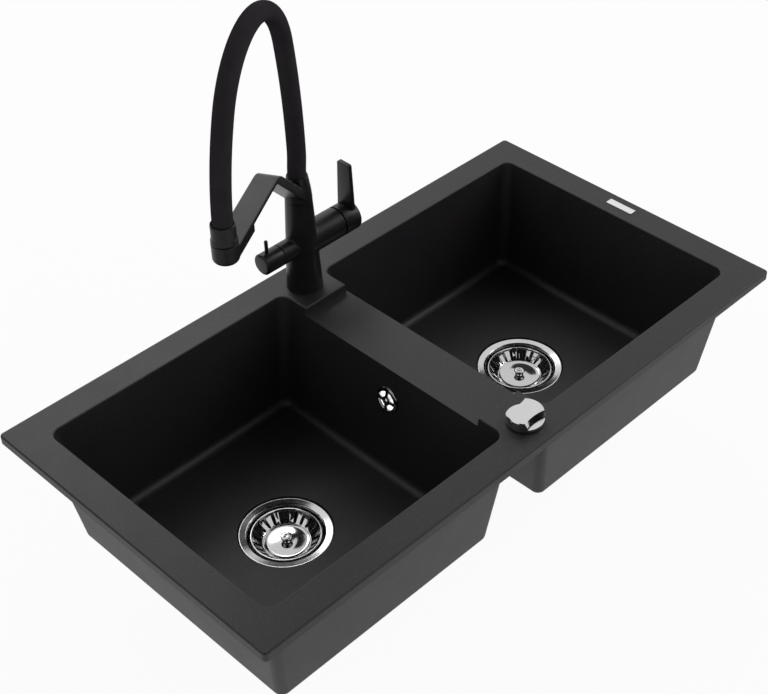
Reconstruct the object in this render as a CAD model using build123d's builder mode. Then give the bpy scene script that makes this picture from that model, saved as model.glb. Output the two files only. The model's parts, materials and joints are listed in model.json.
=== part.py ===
from build123d import *
import os
from math import atan2, cos, degrees, radians, sin, sqrt, tan

os.makedirs("parts", exist_ok=True)

# Double bowl composite sink with a swivel mixer tap, sizes in millimetres.
# The origin is the middle of the sink on the worktop: the rim's underside is z = 0,
# +X runs to the right along the front edge, +Y towards the tap and +Z up.

# Fits
running = 0.06  # radial play where one piece turns or slides in another
snug = 0.05  # radial play where one piece is pushed or screwed into another
loose = 0.35  # radial play where one piece only passes another
small_chamfer = 0.5
ring_share = 0.62  # place of a ring of holes between middle and edge

# Rim, bowls and the bridge between them
rim_length = 820.0
rim_width = 436.0
rim_depth = 11.0
rim_corner = 5.0
rim_round = 2.0
ledge = 38.5  # rim beside the bowls
bridge_width = 65.0
bridge_drop = 10.0  # from the rim's top to the bridge's top
bridge_front_inset = 77.0  # from the rim's front edge to the bridge
bridge_rear_inset = 79.0  # from the bridge to the rim's rear edge
bridge_seam = 4.0  # the bridge node ends this far from the ledges
bowl_seam = 2.0  # the bowls' walls reach this far up into the rim
web_depth = 10.0  # thickness of the bridge
web_margin = 20.0  # the web ends this far inside the rim's front and rear edges
bowl_depth = 152.0
bowl_lean_x = 20.0  # how far the side walls come in down to the floor
bowl_lean_y = 13.5
shell_lean_y = 18.4  # outside of the front and rear walls
bowl_corner = 13.0
floor_round = 11.0
wall = 8.5
floor_thick = 8.0
shell_corner = 11.0
shell_round = 9.0
opening_round = 1.5

# Blank plate on the right of the rim
plate_width = 10.5
plate_length = 40.0
plate_thick = 0.8
plate_corner = 1.5
plate_from_edge = 17.6

# Waste in the middle of each bowl, heights counted from the flange's top
flange_sink = 1.5  # the flange's top lies this far below the floor
flange_radius = 55.0
flange_thick = 1.6
flange_seal = 1.2
cup_radius = 44.3
cup_seat_radius = 34.2
cup_depth = 24.0
cup_sheet = 1.3
drain_pad = 3.0
drain_pad_radius = 62.0
drain_play = 1.0  # round the flange and round the cup
drain_hole_count = 8
drain_hole_radius = 4.5
waste_gasket_thick = 3.0
waste_collar_radius = 59.0
waste_tail_radius = 23.8
waste_tail_bore = 21.0
waste_length = 70.0
waste_tail_top = 47.0
waste_neck_radius = 27.0
waste_funnel_radius = 41.0
waste_funnel_inner = 38.0
waste_neck_inner = 24.0
rib_top = -29.0
rib_base = -35.0
rib_reach = 36.5
rib_foot = 30.5
rib_half = 1.5
screw_boss = 7.0
screw_radius = 4.5
screw_head_radius = 7.5
screw_head_height = 2.4
screw_length = 44.0
pin_radius = 2.0
pin_length = 46.0
basket_radius = 41.5
basket_floor_radius = 28.0
basket_sheet = 1.0
basket_rim_height = -2.6
basket_floor_height = -15.2
basket_slots = 24
basket_disc_radius = 15.5
basket_disc_rise = 1.4
basket_slot_length = 12.0
basket_slot_width = 3.2
basket_roll = 2.2  # width of the rolled rim
basket_seal_thick = 3.8
pull_radius = 7.0
pull_foot_radius = 5.0
pull_stem = 3.2
pull_height = 9.0

# Overflow in the left bowl's wall beside the bridge
overflow_depth = 52.5  # below the rim's top
overflow_y = -5.0
overflow_radius = 17.0
rosette_thick = 3.2
rosette_hollow = 1.6  # depth of its back at the screw
rosette_slot_length = 9.0
rosette_slot_width = 3.6
overflow_hole = 13.0
overflow_screw_radius = 2.1
overflow_screw_head = 3.6
overflow_housing_radius = 21.0
overflow_housing_depth = 12.0
overflow_gasket_thick = 2.5
spigot_radius = 9.0
spigot_bore = 7.0
spigot_length = 48.0

# Remote knob of the left waste, on the front ledge
knob_inset = 38.0  # from the rim's front edge
knob_radius = 21.75
knob_height = 14.0
knob_base = 4.2
knob_gap = 1.1
knob_waist = 23.6  # width of the grip's top between its two hollow flanks
knob_flank = 58.0  # radius of the flanks at the top
knob_draft = 18.0  # degrees that the flanks lean
knob_edge = 0.8
knob_wall = 1.8
bush_radius = 12.0
bush_flange = 18.5
bush_flange_thick = 0.8
bush_length = 20.0  # below the worktop
plug_washer_thick = 2.0
plug_nut_flats = 30.0
plug_nut_thick = 7.0
knob_spindle_radius = 4.0
drive_radius = 14.0
drive_depth = 14.0
drive_wall = 2.0
crank_radius = 10.0
crank_thick = 4.0
crank_lift = 2.5
gland_radius = 4.0
gland_length = 20.0

# Tap, heights counted from the top of the ledge
tap_inset = 42.0  # from the rim's rear edge
tap_hole = 17.5
foot_radius = 22.2
neck_radius = 16.3
body_height = 124.5
barrel_blend = 2.5
foot_gasket = 0.8
shank_radius = 15.0
shank_bore = 12.0
shank_length = 62.0  # below the ledge's top
shank_engaged = 20.0
clamp_radius = 22.0
clamp_rubber = 3.0
clamp_metal = 2.5
clamp_slot = 22.0
nut_flats = 36.0
nut_thick = 10.0
body_passage = 8.0

# Mixer barrel to the right of the body, and its lever
mixer_height = 62.5
mixer_radius = 19.2
mixer_end = 55.6
mixer_bore = 17.6
mixer_bore_start = 24.0
mixer_ring_inner = 6.0
mixer_ring_start = 51.0
lever_gap = 2.1
lever_end = 81.7
lever_round = 2.0
lever_cavity = 16.0
lever_boss = 8.0
lever_cavity_depth = 14.0
spindle_radius = 4.0
spindle_grip = 14.0
blade_start = 71.5
blade_thick = 5.0
blade_foot = 70.0
blade_shoulder = 78.0
blade_top = 139.4
blade_foot_width = 26.5
blade_top_width = 19.8
grub_radius = 2.4
grub_x = 65.5
grub_sunk = 0.3

# Filtered water barrel to the left of the body, and its knob
filter_height = 62.0
filter_radius = 13.2
filter_end = 36.0
filter_bore = 9.5
filter_bore_start = 11.0
filter_knob_gap = 0.5
filter_knob_end = 63.8
filter_knob_chamfer = 1.75
filter_knob_cavity = 10.0
filter_cavity_depth = 9.0
filter_pin_x = 54.0
filter_pin_radius = 2.25
filter_pin_top = 92.3

# Swivelling spout: collar, arm, hose and spray head
swivel_azimuth = 210.0  # the arm's direction, in degrees from +X
washer_thick = 0.6
swivel_radius = 11.0
swivel_bore = 7.8
swivel_engaged = 14.0
swivel_top = 137.2
collar_top = 158.0
collar_lip = 1.5
collar_outside = (  # radius and height of the collar's turned outside
    (16.3, 128.0),
    (15.8, 135.0),
    (15.0, 142.0),
    (13.7, 151.0),
)
arm_start = 8.0  # from the swivel's axis
arm_width = 26.8
arm_top = 215.3
arm_thick = 5.3
arm_root_thick = 10.6
arm_slope = 43.0
arm_crest = 88.2
arm_rise = 1.4  # the crest lies this much above the arm's end
arm_bend = 28.0
arm_inner_bend = 15.0
arm_edge = 0.8
block_length = 51.5  # from the block's rear to the head's axis
block_bottom = 201.4
head_reach = 225.0
outlet_inset = 33.0  # from the filter outlet to the head's axis
outlet_radius = 6.0
outlet_depth = 8.0
outlet_stands = 1.2
outlet_hole = 0.8
outlet_plate = 1.2
cup_outer = 14.5
cup_top = 222.0
cup_bottom = 198.8
cup_bore = 11.7
cup_floor = 5.0
cup_mouth = 8.4
cup_round = 5.0
hose_radius = 11.0
hose_bore = 8.2
hose_start = 138.8
hose_back_angle = 15.0
hose_back_radius = 60.0
hose_return_angle = 15.0
hose_return_radius = 70.0
hose_rise_angle = 13.5
hose_rise_radius = 630.0
hose_top_angle = 68.0
hose_top_share = 0.4  # the bend's radius as a share of the head's reach
hose_fall_angle = 69.5
hose_fall_share = 0.4622
hose_end = 228.6
hose_straights = 34.5  # the lengths of its two straight ends multiplied
nipple_bore = 6.4
nipple_share = 0.64  # of the hose's first straight
head_nipple_length = 4.5
nipple_flange = 1.1
sleeve_top = 245.0
sleeve_radius = 14.4
sleeve_waist = 13.3
sleeve_gap = 0.5
sleeve_floor = 227.3
nozzle_radius = 11.5
nozzle_tip = 8.0
nozzle_passage = 5.5
aerator_radius = 7.0
aerator_length = 4.5
aerator_hole = 1.1

# Worked out from the sizes above
tap_y = rim_width / 2 - tap_inset
knob_y = knob_inset - rim_width / 2
bridge_front = bridge_front_inset - rim_width / 2
bridge_rear = rim_width / 2 - bridge_rear_inset
bowl_length = (rim_length - 2 * ledge - bridge_width) / 2
bowl_width = rim_width - 2 * ledge
bowl_x = (bridge_width + bowl_length) / 2
floor_z = rim_depth - bowl_depth
shell_base = floor_z - floor_thick
bridge_z = rim_depth - bridge_drop
web_base = bridge_z - web_depth
flange_top = floor_z - flange_sink
pad_base = shell_base - drain_pad
sides = {"left": -1, "right": 1}


def upright(x, y, z):
    """Plane through a vertical axis: local x is the radius and local y the height."""
    return Plane(origin=(x, y, z), x_dir=(1, 0, 0), z_dir=(0, -1, 0))


def spin(x, y):
    """Vertical axis through a point of the plan."""
    return Axis((x, y, 0), (0, 0, 1))


def facing_x(x, y, z, way=1):
    """Plane square to the X axis, facing right for way = 1 and left for way = -1."""
    return Plane(origin=(x, y, z), x_dir=(0, 1, 0), z_dir=(way, 0, 0))


# ---------------------------------------------------------------- basin
bridge_middle = (bridge_front + bridge_rear) / 2
bridge_length = bridge_rear - bridge_front
side_length = (rim_length - bridge_width) / 2 + wall  # from the web's side to the rim's end
half_side = (rim_length - side_length) / 2
overflow_lean = atan2(bowl_lean_x, bowl_depth)
overflow_out = Vector(-cos(overflow_lean), 0, sin(overflow_lean))
overflow_x = -bridge_width / 2 - bowl_lean_x * overflow_depth / bowl_depth
overflow_z = rim_depth - overflow_depth
overflow_shell_x = wall - bridge_width / 2 + bowl_lean_x * overflow_z / -shell_base
overflow_wall = (overflow_shell_x - overflow_x) * cos(overflow_lean)
overflow_face = Plane(origin=(overflow_x, overflow_y, overflow_z), x_dir=(0, 1, 0), z_dir=overflow_out)
overflow_section = Plane(
    origin=overflow_face.origin,
    x_dir=(0, 1, 0),
    z_dir=(sin(overflow_lean), 0, cos(overflow_lean)),
)
overflow_axis = Axis(overflow_face.origin, overflow_out)

with BuildPart() as casting:
    with BuildSketch():
        RectangleRounded(rim_length, rim_width, rim_corner)
    extrude(amount=rim_depth)
    fillet(casting.edges().group_by(Axis.Z)[-1], rim_round)
    for side in sides.values():
        with BuildSketch():
            with Locations((side * bowl_x, 0)):
                RectangleRounded(bowl_length + 2 * wall, bowl_width + 2 * wall, shell_corner)
        with BuildSketch(Plane.XY.offset(shell_base)):
            with Locations((side * bowl_x, 0)):
                RectangleRounded(
                    bowl_length + 2 * wall - 2 * bowl_lean_x,
                    bowl_width + 2 * wall - 2 * shell_lean_y,
                    shell_corner,
                )
        loft()
    fillet(casting.edges().group_by(Axis.Z)[0], shell_round)
    with BuildSketch(Plane.XY.offset(web_base)):
        Rectangle(bridge_width - 2 * wall, rim_width - 2 * web_margin)
        with Locations((0, bridge_middle)):
            Rectangle(bridge_width - wall, bridge_length)
    extrude(amount=bridge_z - web_base)
    with BuildSketch(Plane.XY.offset(pad_base)):
        with Locations((-bowl_x, 0), (bowl_x, 0)):
            Circle(drain_pad_radius)
    extrude(amount=drain_pad + floor_thick / 2)
    for side in sides.values():
        with BuildSketch(Plane.XY.offset(rim_depth)):
            with Locations((side * bowl_x, 0)):
                RectangleRounded(bowl_length, bowl_width, bowl_corner)
        with BuildSketch(Plane.XY.offset(floor_z)):
            with Locations((side * bowl_x, 0)):
                RectangleRounded(
                    bowl_length - 2 * bowl_lean_x, bowl_width - 2 * bowl_lean_y, bowl_corner
                )
        loft(mode=Mode.SUBTRACT)
    fillet(casting.edges().filter_by_position(Axis.Z, floor_z - 0.01, floor_z + 0.01), floor_round)
    with BuildSketch(Plane.XY.offset(bridge_z)):
        with Locations((0, bridge_middle)):
            Rectangle(bridge_width + 2 * wall, bridge_length)
    extrude(amount=bridge_drop, mode=Mode.SUBTRACT)
    opening_edges = casting.faces().sort_by(Axis.Z)[-1].inner_wires()[0].edges()
    bridge_edges = casting.edges().filter_by_position(Axis.Z, bridge_z - 0.01, bridge_z + 0.01)
    fillet(opening_edges + bridge_edges.filter_by(Axis.Y), opening_round)
    # Recess and hole of each waste
    with BuildSketch(Plane.XY.offset(floor_z)):
        with Locations((-bowl_x, 0), (bowl_x, 0)):
            Circle(flange_radius + drain_play)
    extrude(amount=-flange_sink - flange_thick - flange_seal, mode=Mode.SUBTRACT)
    with BuildSketch(Plane.XY.offset(floor_z)):
        with Locations((-bowl_x, 0), (bowl_x, 0)):
            Circle(cup_radius + cup_sheet + drain_play)
    extrude(amount=pad_base - floor_z, mode=Mode.SUBTRACT)
    # Holes for the tap, the knob and the overflow
    with BuildSketch(Plane.XY.offset(web_base)):
        with Locations((0, tap_y)):
            Circle(tap_hole)
        with Locations((0, knob_y)):
            Circle(bush_radius + loose)
    extrude(amount=rim_depth - web_base, mode=Mode.SUBTRACT)
    with BuildSketch(overflow_face):
        Circle(overflow_hole)
    extrude(amount=overflow_wall + wall, both=True, mode=Mode.SUBTRACT)

# The casting is cut into a rim, a bridge and two bowls that meet face to face
with BuildPart() as rim:
    add(casting.part)
    with BuildSketch(Plane.XY):
        with Locations((-half_side, 0), (half_side, 0)):
            Rectangle(side_length, rim_width)
    extrude(amount=pad_base, mode=Mode.SUBTRACT)
    with BuildSketch(Plane.XY):
        with Locations((-bowl_x, 0), (bowl_x, 0)):
            RectangleRounded(bowl_length + 2 * wall, bowl_width + 2 * wall, shell_corner)
    extrude(amount=bowl_seam, mode=Mode.SUBTRACT)
    with BuildSketch(Plane.XY.offset(web_base)):
        with Locations((0, bridge_middle)):
            Rectangle(bridge_width + 2 * wall, bridge_length - 2 * bridge_seam)
    extrude(amount=bridge_z - web_base, mode=Mode.SUBTRACT)
rim.part.label = "rim"
export_step(rim.part, "parts/rim.step")

with BuildPart() as bridge:
    add(casting.part)
    with BuildSketch(Plane.XY.offset(web_base)):
        with Locations((0, bridge_middle)):
            Rectangle(bridge_width + 2 * wall, bridge_length - 2 * bridge_seam)
    extrude(amount=bridge_z - web_base, mode=Mode.INTERSECT)
bridge.part.label = "bridge"
export_step(bridge.part, "parts/bridge.step")

for name, side in sides.items():
    with BuildPart() as bowl:
        with BuildSketch():
            with Locations((side * half_side, 0)):
                Rectangle(side_length, rim_width)
        extrude(amount=pad_base)
        with BuildSketch():
            with Locations((side * bowl_x, 0)):
                RectangleRounded(bowl_length + 2 * wall, bowl_width + 2 * wall, shell_corner)
        extrude(amount=bowl_seam)
        add(casting.part, mode=Mode.INTERSECT)
        with BuildSketch(Plane.XY.offset(web_base)):
            with Locations((0, bridge_middle)):
                Rectangle(bridge_width + 2 * wall, bridge_length - 2 * bridge_seam)
        extrude(amount=bridge_z - web_base, mode=Mode.SUBTRACT)
    bowl.part.label = f"bowl_{name}"
    export_step(bowl.part, f"parts/bowl_{name}.step")

# ---------------------------------------------------------------- blank plate
with BuildPart() as badge_plate:
    with BuildSketch(Plane.XY.offset(rim_depth)):
        with Locations((rim_length / 2 - plate_from_edge, 0)):
            RectangleRounded(plate_width, plate_length, plate_corner)
    extrude(amount=plate_thick)
badge_plate.part.label = "badge_plate"
export_step(badge_plate.part, "parts/badge_plate.step")

# ---------------------------------------------------------------- wastes
flange_under = -flange_thick - flange_seal
gasket_top = pad_base - flange_top
gasket_base = gasket_top - waste_gasket_thick
cup_base = -cup_depth - cup_sheet
cup_outer_radius = cup_radius + cup_sheet
screw_tip = -screw_length
basket_floor_under = basket_floor_height - basket_sheet
basket_seal_radius = cup_seat_radius - 0.3
tail_top = -waste_tail_top

for name, side in sides.items():
    drain = upright(side * bowl_x, 0, flange_top)
    drain_axis = spin(side * bowl_x, 0)

    with BuildPart() as flange:
        with BuildSketch(drain):
            Polygon(
                (screw_radius + snug, -cup_depth),
                (cup_seat_radius - 0.7, -cup_depth),
                (cup_seat_radius, -cup_depth + 5),
                (cup_radius - 1, -10),
                (cup_radius, -3),
                (cup_radius + 1.2, -0.7),
                (cup_radius + 2.7, 0),
                (flange_radius - 1.2, 0),
                (flange_radius, -0.8),
                (flange_radius, -flange_thick),
                (cup_outer_radius + 1, -flange_thick),
                (cup_outer_radius, -3.2),
                (cup_outer_radius - 1, -10.6),
                (cup_seat_radius + cup_sheet, -cup_depth + 4.3),
                (cup_seat_radius + 0.5, cup_base),
                (screw_radius + snug, cup_base),
                align=None,
            )
        revolve(axis=drain_axis)
        with BuildSketch(Plane.XY.offset(flange_top + cup_base)):
            with Locations((side * bowl_x, 0)):
                with PolarLocations(cup_seat_radius * ring_share, drain_hole_count):
                    Circle(drain_hole_radius)
        extrude(amount=2 * cup_sheet, mode=Mode.SUBTRACT)
    flange.part.label = f"waste_flange_{name}"
    export_step(flange.part, f"parts/waste_flange_{name}.step")

    with BuildPart() as flange_ring:
        with BuildSketch(drain):
            Polygon(
                (cup_outer_radius + 1.4, flange_under),
                (flange_radius - 0.5, flange_under),
                (flange_radius - 0.5, -flange_thick),
                (cup_outer_radius + 1.4, -flange_thick),
                align=None,
            )
        revolve(axis=drain_axis)
    flange_ring.part.label = f"flange_seal_{name}"
    export_step(flange_ring.part, f"parts/flange_seal_{name}.step")

    with BuildPart() as waste_gasket:
        with BuildSketch(drain):
            Polygon(
                (cup_outer_radius + 2.5, gasket_base),
                (waste_collar_radius - 1, gasket_base),
                (waste_collar_radius - 1, gasket_top),
                (cup_outer_radius + 2.5, gasket_top),
                align=None,
            )
        revolve(axis=drain_axis)
    waste_gasket.part.label = f"waste_gasket_{name}"
    export_step(waste_gasket.part, f"parts/waste_gasket_{name}.step")

    with BuildPart() as waste_body:
        with BuildSketch(drain):
            Polygon(
                (cup_outer_radius + 1.8, gasket_base),
                (waste_collar_radius, gasket_base),
                (waste_collar_radius, gasket_base - 5.5),
                (cup_outer_radius + 4.5, gasket_base - 7.5),
                (waste_funnel_radius, rib_top),
                (waste_neck_radius, tail_top + 3.5),
                (waste_tail_radius, tail_top),
                (waste_tail_radius, -waste_length),
                (waste_tail_bore, -waste_length),
                (waste_tail_bore, tail_top + 3),
                (waste_neck_inner, tail_top + 7),
                (waste_funnel_inner, cup_base - 1.2),
                (cup_outer_radius + 1.2, gasket_base - 4),
                align=None,
            )
        revolve(axis=drain_axis)
        # Crossed ribs that carry the boss of the clamping screw
        for rib_plane in (drain, facing_x(side * bowl_x, 0, flange_top)):
            with BuildSketch(rib_plane):
                Polygon(
                    (-rib_reach, rib_top),
                    (-rib_foot, rib_base),
                    (rib_foot, rib_base),
                    (rib_reach, rib_top),
                    align=None,
                )
            extrude(amount=rib_half, both=True)
        with BuildSketch(drain):
            Polygon(
                (0, cup_base - 0.5),
                (screw_boss, cup_base - 0.5),
                (screw_boss, screw_tip),
                (0, screw_tip),
                align=None,
            )
        revolve(axis=drain_axis)
        with BuildSketch(Plane.XY.offset(flange_top + screw_tip)):
            with Locations((side * bowl_x, 0)):
                Circle(screw_radius + snug)
        extrude(amount=screw_length, mode=Mode.SUBTRACT)
        if name == "left":
            # Gland where the remote drive's cable enters the tail
            gland_start = side * bowl_x + waste_tail_radius + 2
            with BuildSketch(facing_x(gland_start, 0, flange_top + tail_top + 8)):
                Circle(gland_radius + 1)
            extrude(amount=gland_length)
            with BuildSketch(facing_x(side * bowl_x + waste_tail_bore, 0, flange_top + tail_top + 8)):
                Circle(gland_radius - 2)
            extrude(amount=gland_length + waste_tail_radius, mode=Mode.SUBTRACT)
    waste_body.part.label = f"waste_body_{name}"
    export_step(waste_body.part, f"parts/waste_body_{name}.step")

    with BuildPart() as waste_screw:
        with BuildSketch(Plane.XY.offset(flange_top - cup_depth)):
            with Locations((side * bowl_x, 0)):
                RegularPolygon(screw_head_radius, 6)
        extrude(amount=screw_head_height)
        with BuildSketch(Plane.XY.offset(flange_top + screw_tip)):
            with Locations((side * bowl_x, 0)):
                Circle(screw_radius)
        extrude(amount=screw_length - cup_depth)
        if name == "left":
            with BuildSketch(Plane.XY.offset(flange_top + screw_tip)):
                with Locations((side * bowl_x, 0)):
                    Circle(pin_radius + running)
            extrude(amount=screw_length, mode=Mode.SUBTRACT)
    waste_screw.part.label = f"waste_screw_{name}"
    export_step(waste_screw.part, f"parts/waste_screw_{name}.step")

    with BuildPart() as basket:
        with BuildSketch(drain):
            Polygon(
                (0, basket_floor_under),
                (basket_floor_radius + 0.6, basket_floor_under),
                (basket_radius - 0.8, basket_rim_height - 3),
                (basket_radius, basket_rim_height - 2),
                (basket_radius, basket_rim_height),
                (basket_radius - basket_roll, basket_rim_height),
                (basket_radius - basket_roll, basket_rim_height - 2.4),
                (basket_floor_radius, basket_floor_height + 0.6),
                (basket_floor_radius - 1.2, basket_floor_height),
                (basket_disc_radius, basket_floor_height),
                (basket_disc_radius - 1.2, basket_floor_height + basket_disc_rise),
                (0, basket_floor_height + basket_disc_rise),
                align=None,
            )
        revolve(axis=drain_axis)
        basket_slope = degrees(
            atan2(
                basket_rim_height - 3 - basket_floor_under, basket_radius - basket_floor_radius
            )
        )
        slot_radius = (basket_radius + basket_floor_radius) / 2 - 0.5
        slot_height = (basket_rim_height + basket_floor_height) / 2 - 1.2
        for step in range(basket_slots):
            turned = 360 * step / basket_slots
            slot_plane = Plane(
                origin=(
                    side * bowl_x + slot_radius * cos(radians(turned)),
                    slot_radius * sin(radians(turned)),
                    flange_top + slot_height,
                ),
                x_dir=(
                    cos(radians(turned)) * cos(radians(basket_slope)),
                    sin(radians(turned)) * cos(radians(basket_slope)),
                    sin(radians(basket_slope)),
                ),
                z_dir=(
                    -cos(radians(turned)) * sin(radians(basket_slope)),
                    -sin(radians(turned)) * sin(radians(basket_slope)),
                    cos(radians(basket_slope)),
                ),
            )
            with BuildSketch(slot_plane):
                SlotOverall(basket_slot_length, basket_slot_width)
            extrude(amount=3, both=True, mode=Mode.SUBTRACT)
    basket.part.label = f"basket_{name}"
    export_step(basket.part, f"parts/basket_{name}.step")

    with BuildPart() as basket_seal:
        with BuildSketch(drain):
            Polygon(
                (screw_head_radius + 3, basket_floor_under - basket_seal_thick),
                (basket_seal_radius - 0.6, basket_floor_under - basket_seal_thick),
                (basket_seal_radius, basket_floor_under - 1.2),
                (basket_seal_radius, basket_floor_under),
                (screw_head_radius + 3, basket_floor_under),
                align=None,
            )
        revolve(axis=drain_axis)
    basket_seal.part.label = f"basket_seal_{name}"
    export_step(basket_seal.part, f"parts/basket_seal_{name}.step")

    pull_foot = basket_floor_height + basket_disc_rise
    with BuildPart() as basket_pull:
        with BuildSketch(drain):
            Polygon(
                (0, pull_foot),
                (pull_foot_radius, pull_foot),
                (pull_stem, pull_foot + 2.0),
                (pull_stem, pull_foot + pull_height - 4.6),
                (pull_radius - 0.8, pull_foot + pull_height - 4.0),
                (pull_radius, pull_foot + pull_height - 3.2),
                (pull_radius, pull_foot + pull_height - 2.2),
                (pull_radius - 1, pull_foot + pull_height - 1.4),
                (0, pull_foot + pull_height - 1.1),
                align=None,
            )
        revolve(axis=drain_axis)
    basket_pull.part.label = f"basket_pull_{name}"
    export_step(basket_pull.part, f"parts/basket_pull_{name}.step")

with BuildPart() as lift_pin:
    with BuildSketch(Plane.XY.offset(flange_top + basket_floor_under - pin_length)):
        with Locations((-bowl_x, 0)):
            Circle(pin_radius)
    extrude(amount=pin_length)
    chamfer(lift_pin.edges().group_by(Axis.Z)[0], small_chamfer)
lift_pin.part.label = "lift_pin"
export_step(lift_pin.part, "parts/lift_pin.step")

# ---------------------------------------------------------------- overflow
gasket_outside = -overflow_wall - running
housing_front = gasket_outside - overflow_gasket_thick
housing_back = housing_front - overflow_housing_depth

with BuildPart() as overflow_rosette:
    with BuildSketch(overflow_section):
        Polygon(
            (overflow_screw_radius + snug, rosette_hollow),
            (overflow_radius - 3, 1.2),
            (overflow_radius - 1.6, 0),
            (overflow_radius, 0),
            (overflow_radius, 1.1),
            (overflow_radius - 2, 2.4),
            (overflow_radius - 7, 3.0),
            (overflow_screw_radius + snug, rosette_thick),
            align=None,
        )
    revolve(axis=overflow_axis)
    with BuildSketch(overflow_face):
        with PolarLocations(overflow_radius * ring_share, 4, start_angle=45):
            SlotOverall(rosette_slot_length, rosette_slot_width, rotation=90)
    extrude(amount=4, mode=Mode.SUBTRACT)
overflow_rosette.part.label = "overflow_rosette"
export_step(overflow_rosette.part, "parts/overflow_rosette.step")

with BuildPart() as overflow_screw:
    with BuildSketch(overflow_section):
        Polygon(
            (0, housing_back + 3),
            (overflow_screw_radius, housing_back + 3),
            (overflow_screw_radius, rosette_thick),
            (overflow_screw_head, rosette_thick),
            (overflow_screw_head, rosette_thick + 0.7),
            (overflow_screw_head - 1.2, rosette_thick + 1.6),
            (0, rosette_thick + 1.8),
            align=None,
        )
    revolve(axis=overflow_axis)
overflow_screw.part.label = "overflow_screw"
export_step(overflow_screw.part, "parts/overflow_screw.step")

with BuildPart() as overflow_gasket:
    with BuildSketch(overflow_section):
        Polygon(
            (overflow_hole + 0.5, gasket_outside),
            (overflow_housing_radius - 1, gasket_outside),
            (overflow_housing_radius - 1, housing_front),
            (overflow_hole + 0.5, housing_front),
            align=None,
        )
    revolve(axis=overflow_axis)
overflow_gasket.part.label = "overflow_gasket"
export_step(overflow_gasket.part, "parts/overflow_gasket.step")

spigot_x = overflow_x - housing_front * cos(overflow_lean) + spigot_radius + 1
with BuildPart() as overflow_housing:
    with BuildSketch(overflow_section):
        Polygon(
            (0, housing_back),
            (overflow_housing_radius - 2, housing_back),
            (overflow_housing_radius, housing_back + 2),
            (overflow_housing_radius, housing_front),
            (0, housing_front),
            align=None,
        )
    revolve(axis=overflow_axis)
    with BuildSketch(Plane.XY.offset(overflow_z - spigot_length)):
        with Locations((spigot_x, overflow_y)):
            Circle(spigot_radius)
    extrude(amount=spigot_length - overflow_housing_radius / 2)
    with BuildSketch(overflow_section):
        Polygon(
            (4.5, housing_back + 2),
            (overflow_housing_radius - 2.5, housing_back + 2),
            (overflow_housing_radius - 2.5, housing_front - 2),
            (overflow_hole + 0.5, housing_front),
            (4.5, housing_front),
            align=None,
        )
    revolve(axis=overflow_axis, mode=Mode.SUBTRACT)
    with BuildSketch(Plane.XY.offset(overflow_z - spigot_length)):
        with Locations((spigot_x, overflow_y)):
            Circle(spigot_bore)
    extrude(amount=spigot_length - overflow_housing_radius * 0.6, mode=Mode.SUBTRACT)
    with BuildSketch(overflow_section):
        Polygon(
            (0, housing_back + 2.5),
            (overflow_screw_radius + snug, housing_back + 2.5),
            (overflow_screw_radius + snug, housing_front + 1),
            (0, housing_front + 1),
            align=None,
        )
    revolve(axis=overflow_axis, mode=Mode.SUBTRACT)
overflow_housing.part.label = "overflow_housing"
export_step(overflow_housing.part, "parts/overflow_housing.step")

# ---------------------------------------------------------------- remote knob of the left waste
knob_plane = upright(0, knob_y, 0)
knob_axis = spin(0, knob_y)
knob_foot = rim_depth + knob_gap
drive_top = -bush_length
drive_base = drive_top - drive_depth
crank_base = drive_base + drive_wall + crank_lift

with BuildPart() as plug_bush:
    with BuildSketch(knob_plane):
        Polygon(
            (knob_spindle_radius + running, drive_top),
            (bush_radius, drive_top),
            (bush_radius, rim_depth),
            (bush_flange, rim_depth),
            (bush_flange, rim_depth + bush_flange_thick / 2),
            (bush_flange - 0.4, rim_depth + bush_flange_thick),
            (knob_spindle_radius + running, rim_depth + bush_flange_thick),
            align=None,
        )
    revolve(axis=knob_axis)
plug_bush.part.label = "plug_bush"
export_step(plug_bush.part, "parts/plug_bush.step")

with BuildPart() as plug_washer:
    with BuildSketch(Plane.XY.offset(web_base - plug_washer_thick)):
        with Locations((0, knob_y)):
            Circle(plug_nut_flats / 2 + 2)
            Circle(bush_radius + loose, mode=Mode.SUBTRACT)
    extrude(amount=plug_washer_thick)
plug_washer.part.label = "plug_washer"
export_step(plug_washer.part, "parts/plug_washer.step")

with BuildPart() as plug_nut:
    with BuildSketch(Plane.XY.offset(web_base - plug_washer_thick - plug_nut_thick)):
        with Locations((0, knob_y)):
            RegularPolygon(plug_nut_flats / 2, 6, major_radius=False)
            Circle(bush_radius + snug, mode=Mode.SUBTRACT)
    extrude(amount=plug_nut_thick)
plug_nut.part.label = "plug_nut"
export_step(plug_nut.part, "parts/plug_nut.step")

with BuildPart() as plug_drive:
    with BuildSketch(knob_plane):
        Polygon(
            (0, drive_base),
            (drive_radius - 1.5, drive_base),
            (drive_radius, drive_base + 1.5),
            (drive_radius, drive_top - 1),
            (drive_radius - 1, drive_top),
            (knob_spindle_radius + 1, drive_top),
            (knob_spindle_radius + 1, drive_top - drive_wall),
            (drive_radius - drive_wall, drive_top - drive_wall),
            (drive_radius - drive_wall, drive_base + drive_wall),
            (0, drive_base + drive_wall),
            align=None,
        )
    revolve(axis=knob_axis)
    # Gland for the cable, towards the gap between the bowls
    gland_plane = Plane(
        origin=(0, knob_y + drive_radius - drive_wall / 2, (drive_top + drive_base) / 2),
        x_dir=(1, 0, 0),
        z_dir=(0, 1, 0),
    )
    with BuildSketch(gland_plane):
        Circle(gland_radius)
    extrude(amount=gland_length)
    with BuildSketch(gland_plane):
        Circle(gland_radius - 2)
    extrude(amount=gland_length, mode=Mode.SUBTRACT)
    with BuildSketch(gland_plane):
        Circle(gland_radius - 2)
    extrude(amount=-drive_wall, mode=Mode.SUBTRACT)
plug_drive.part.label = "plug_drive"
export_step(plug_drive.part, "parts/plug_drive.step")

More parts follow.
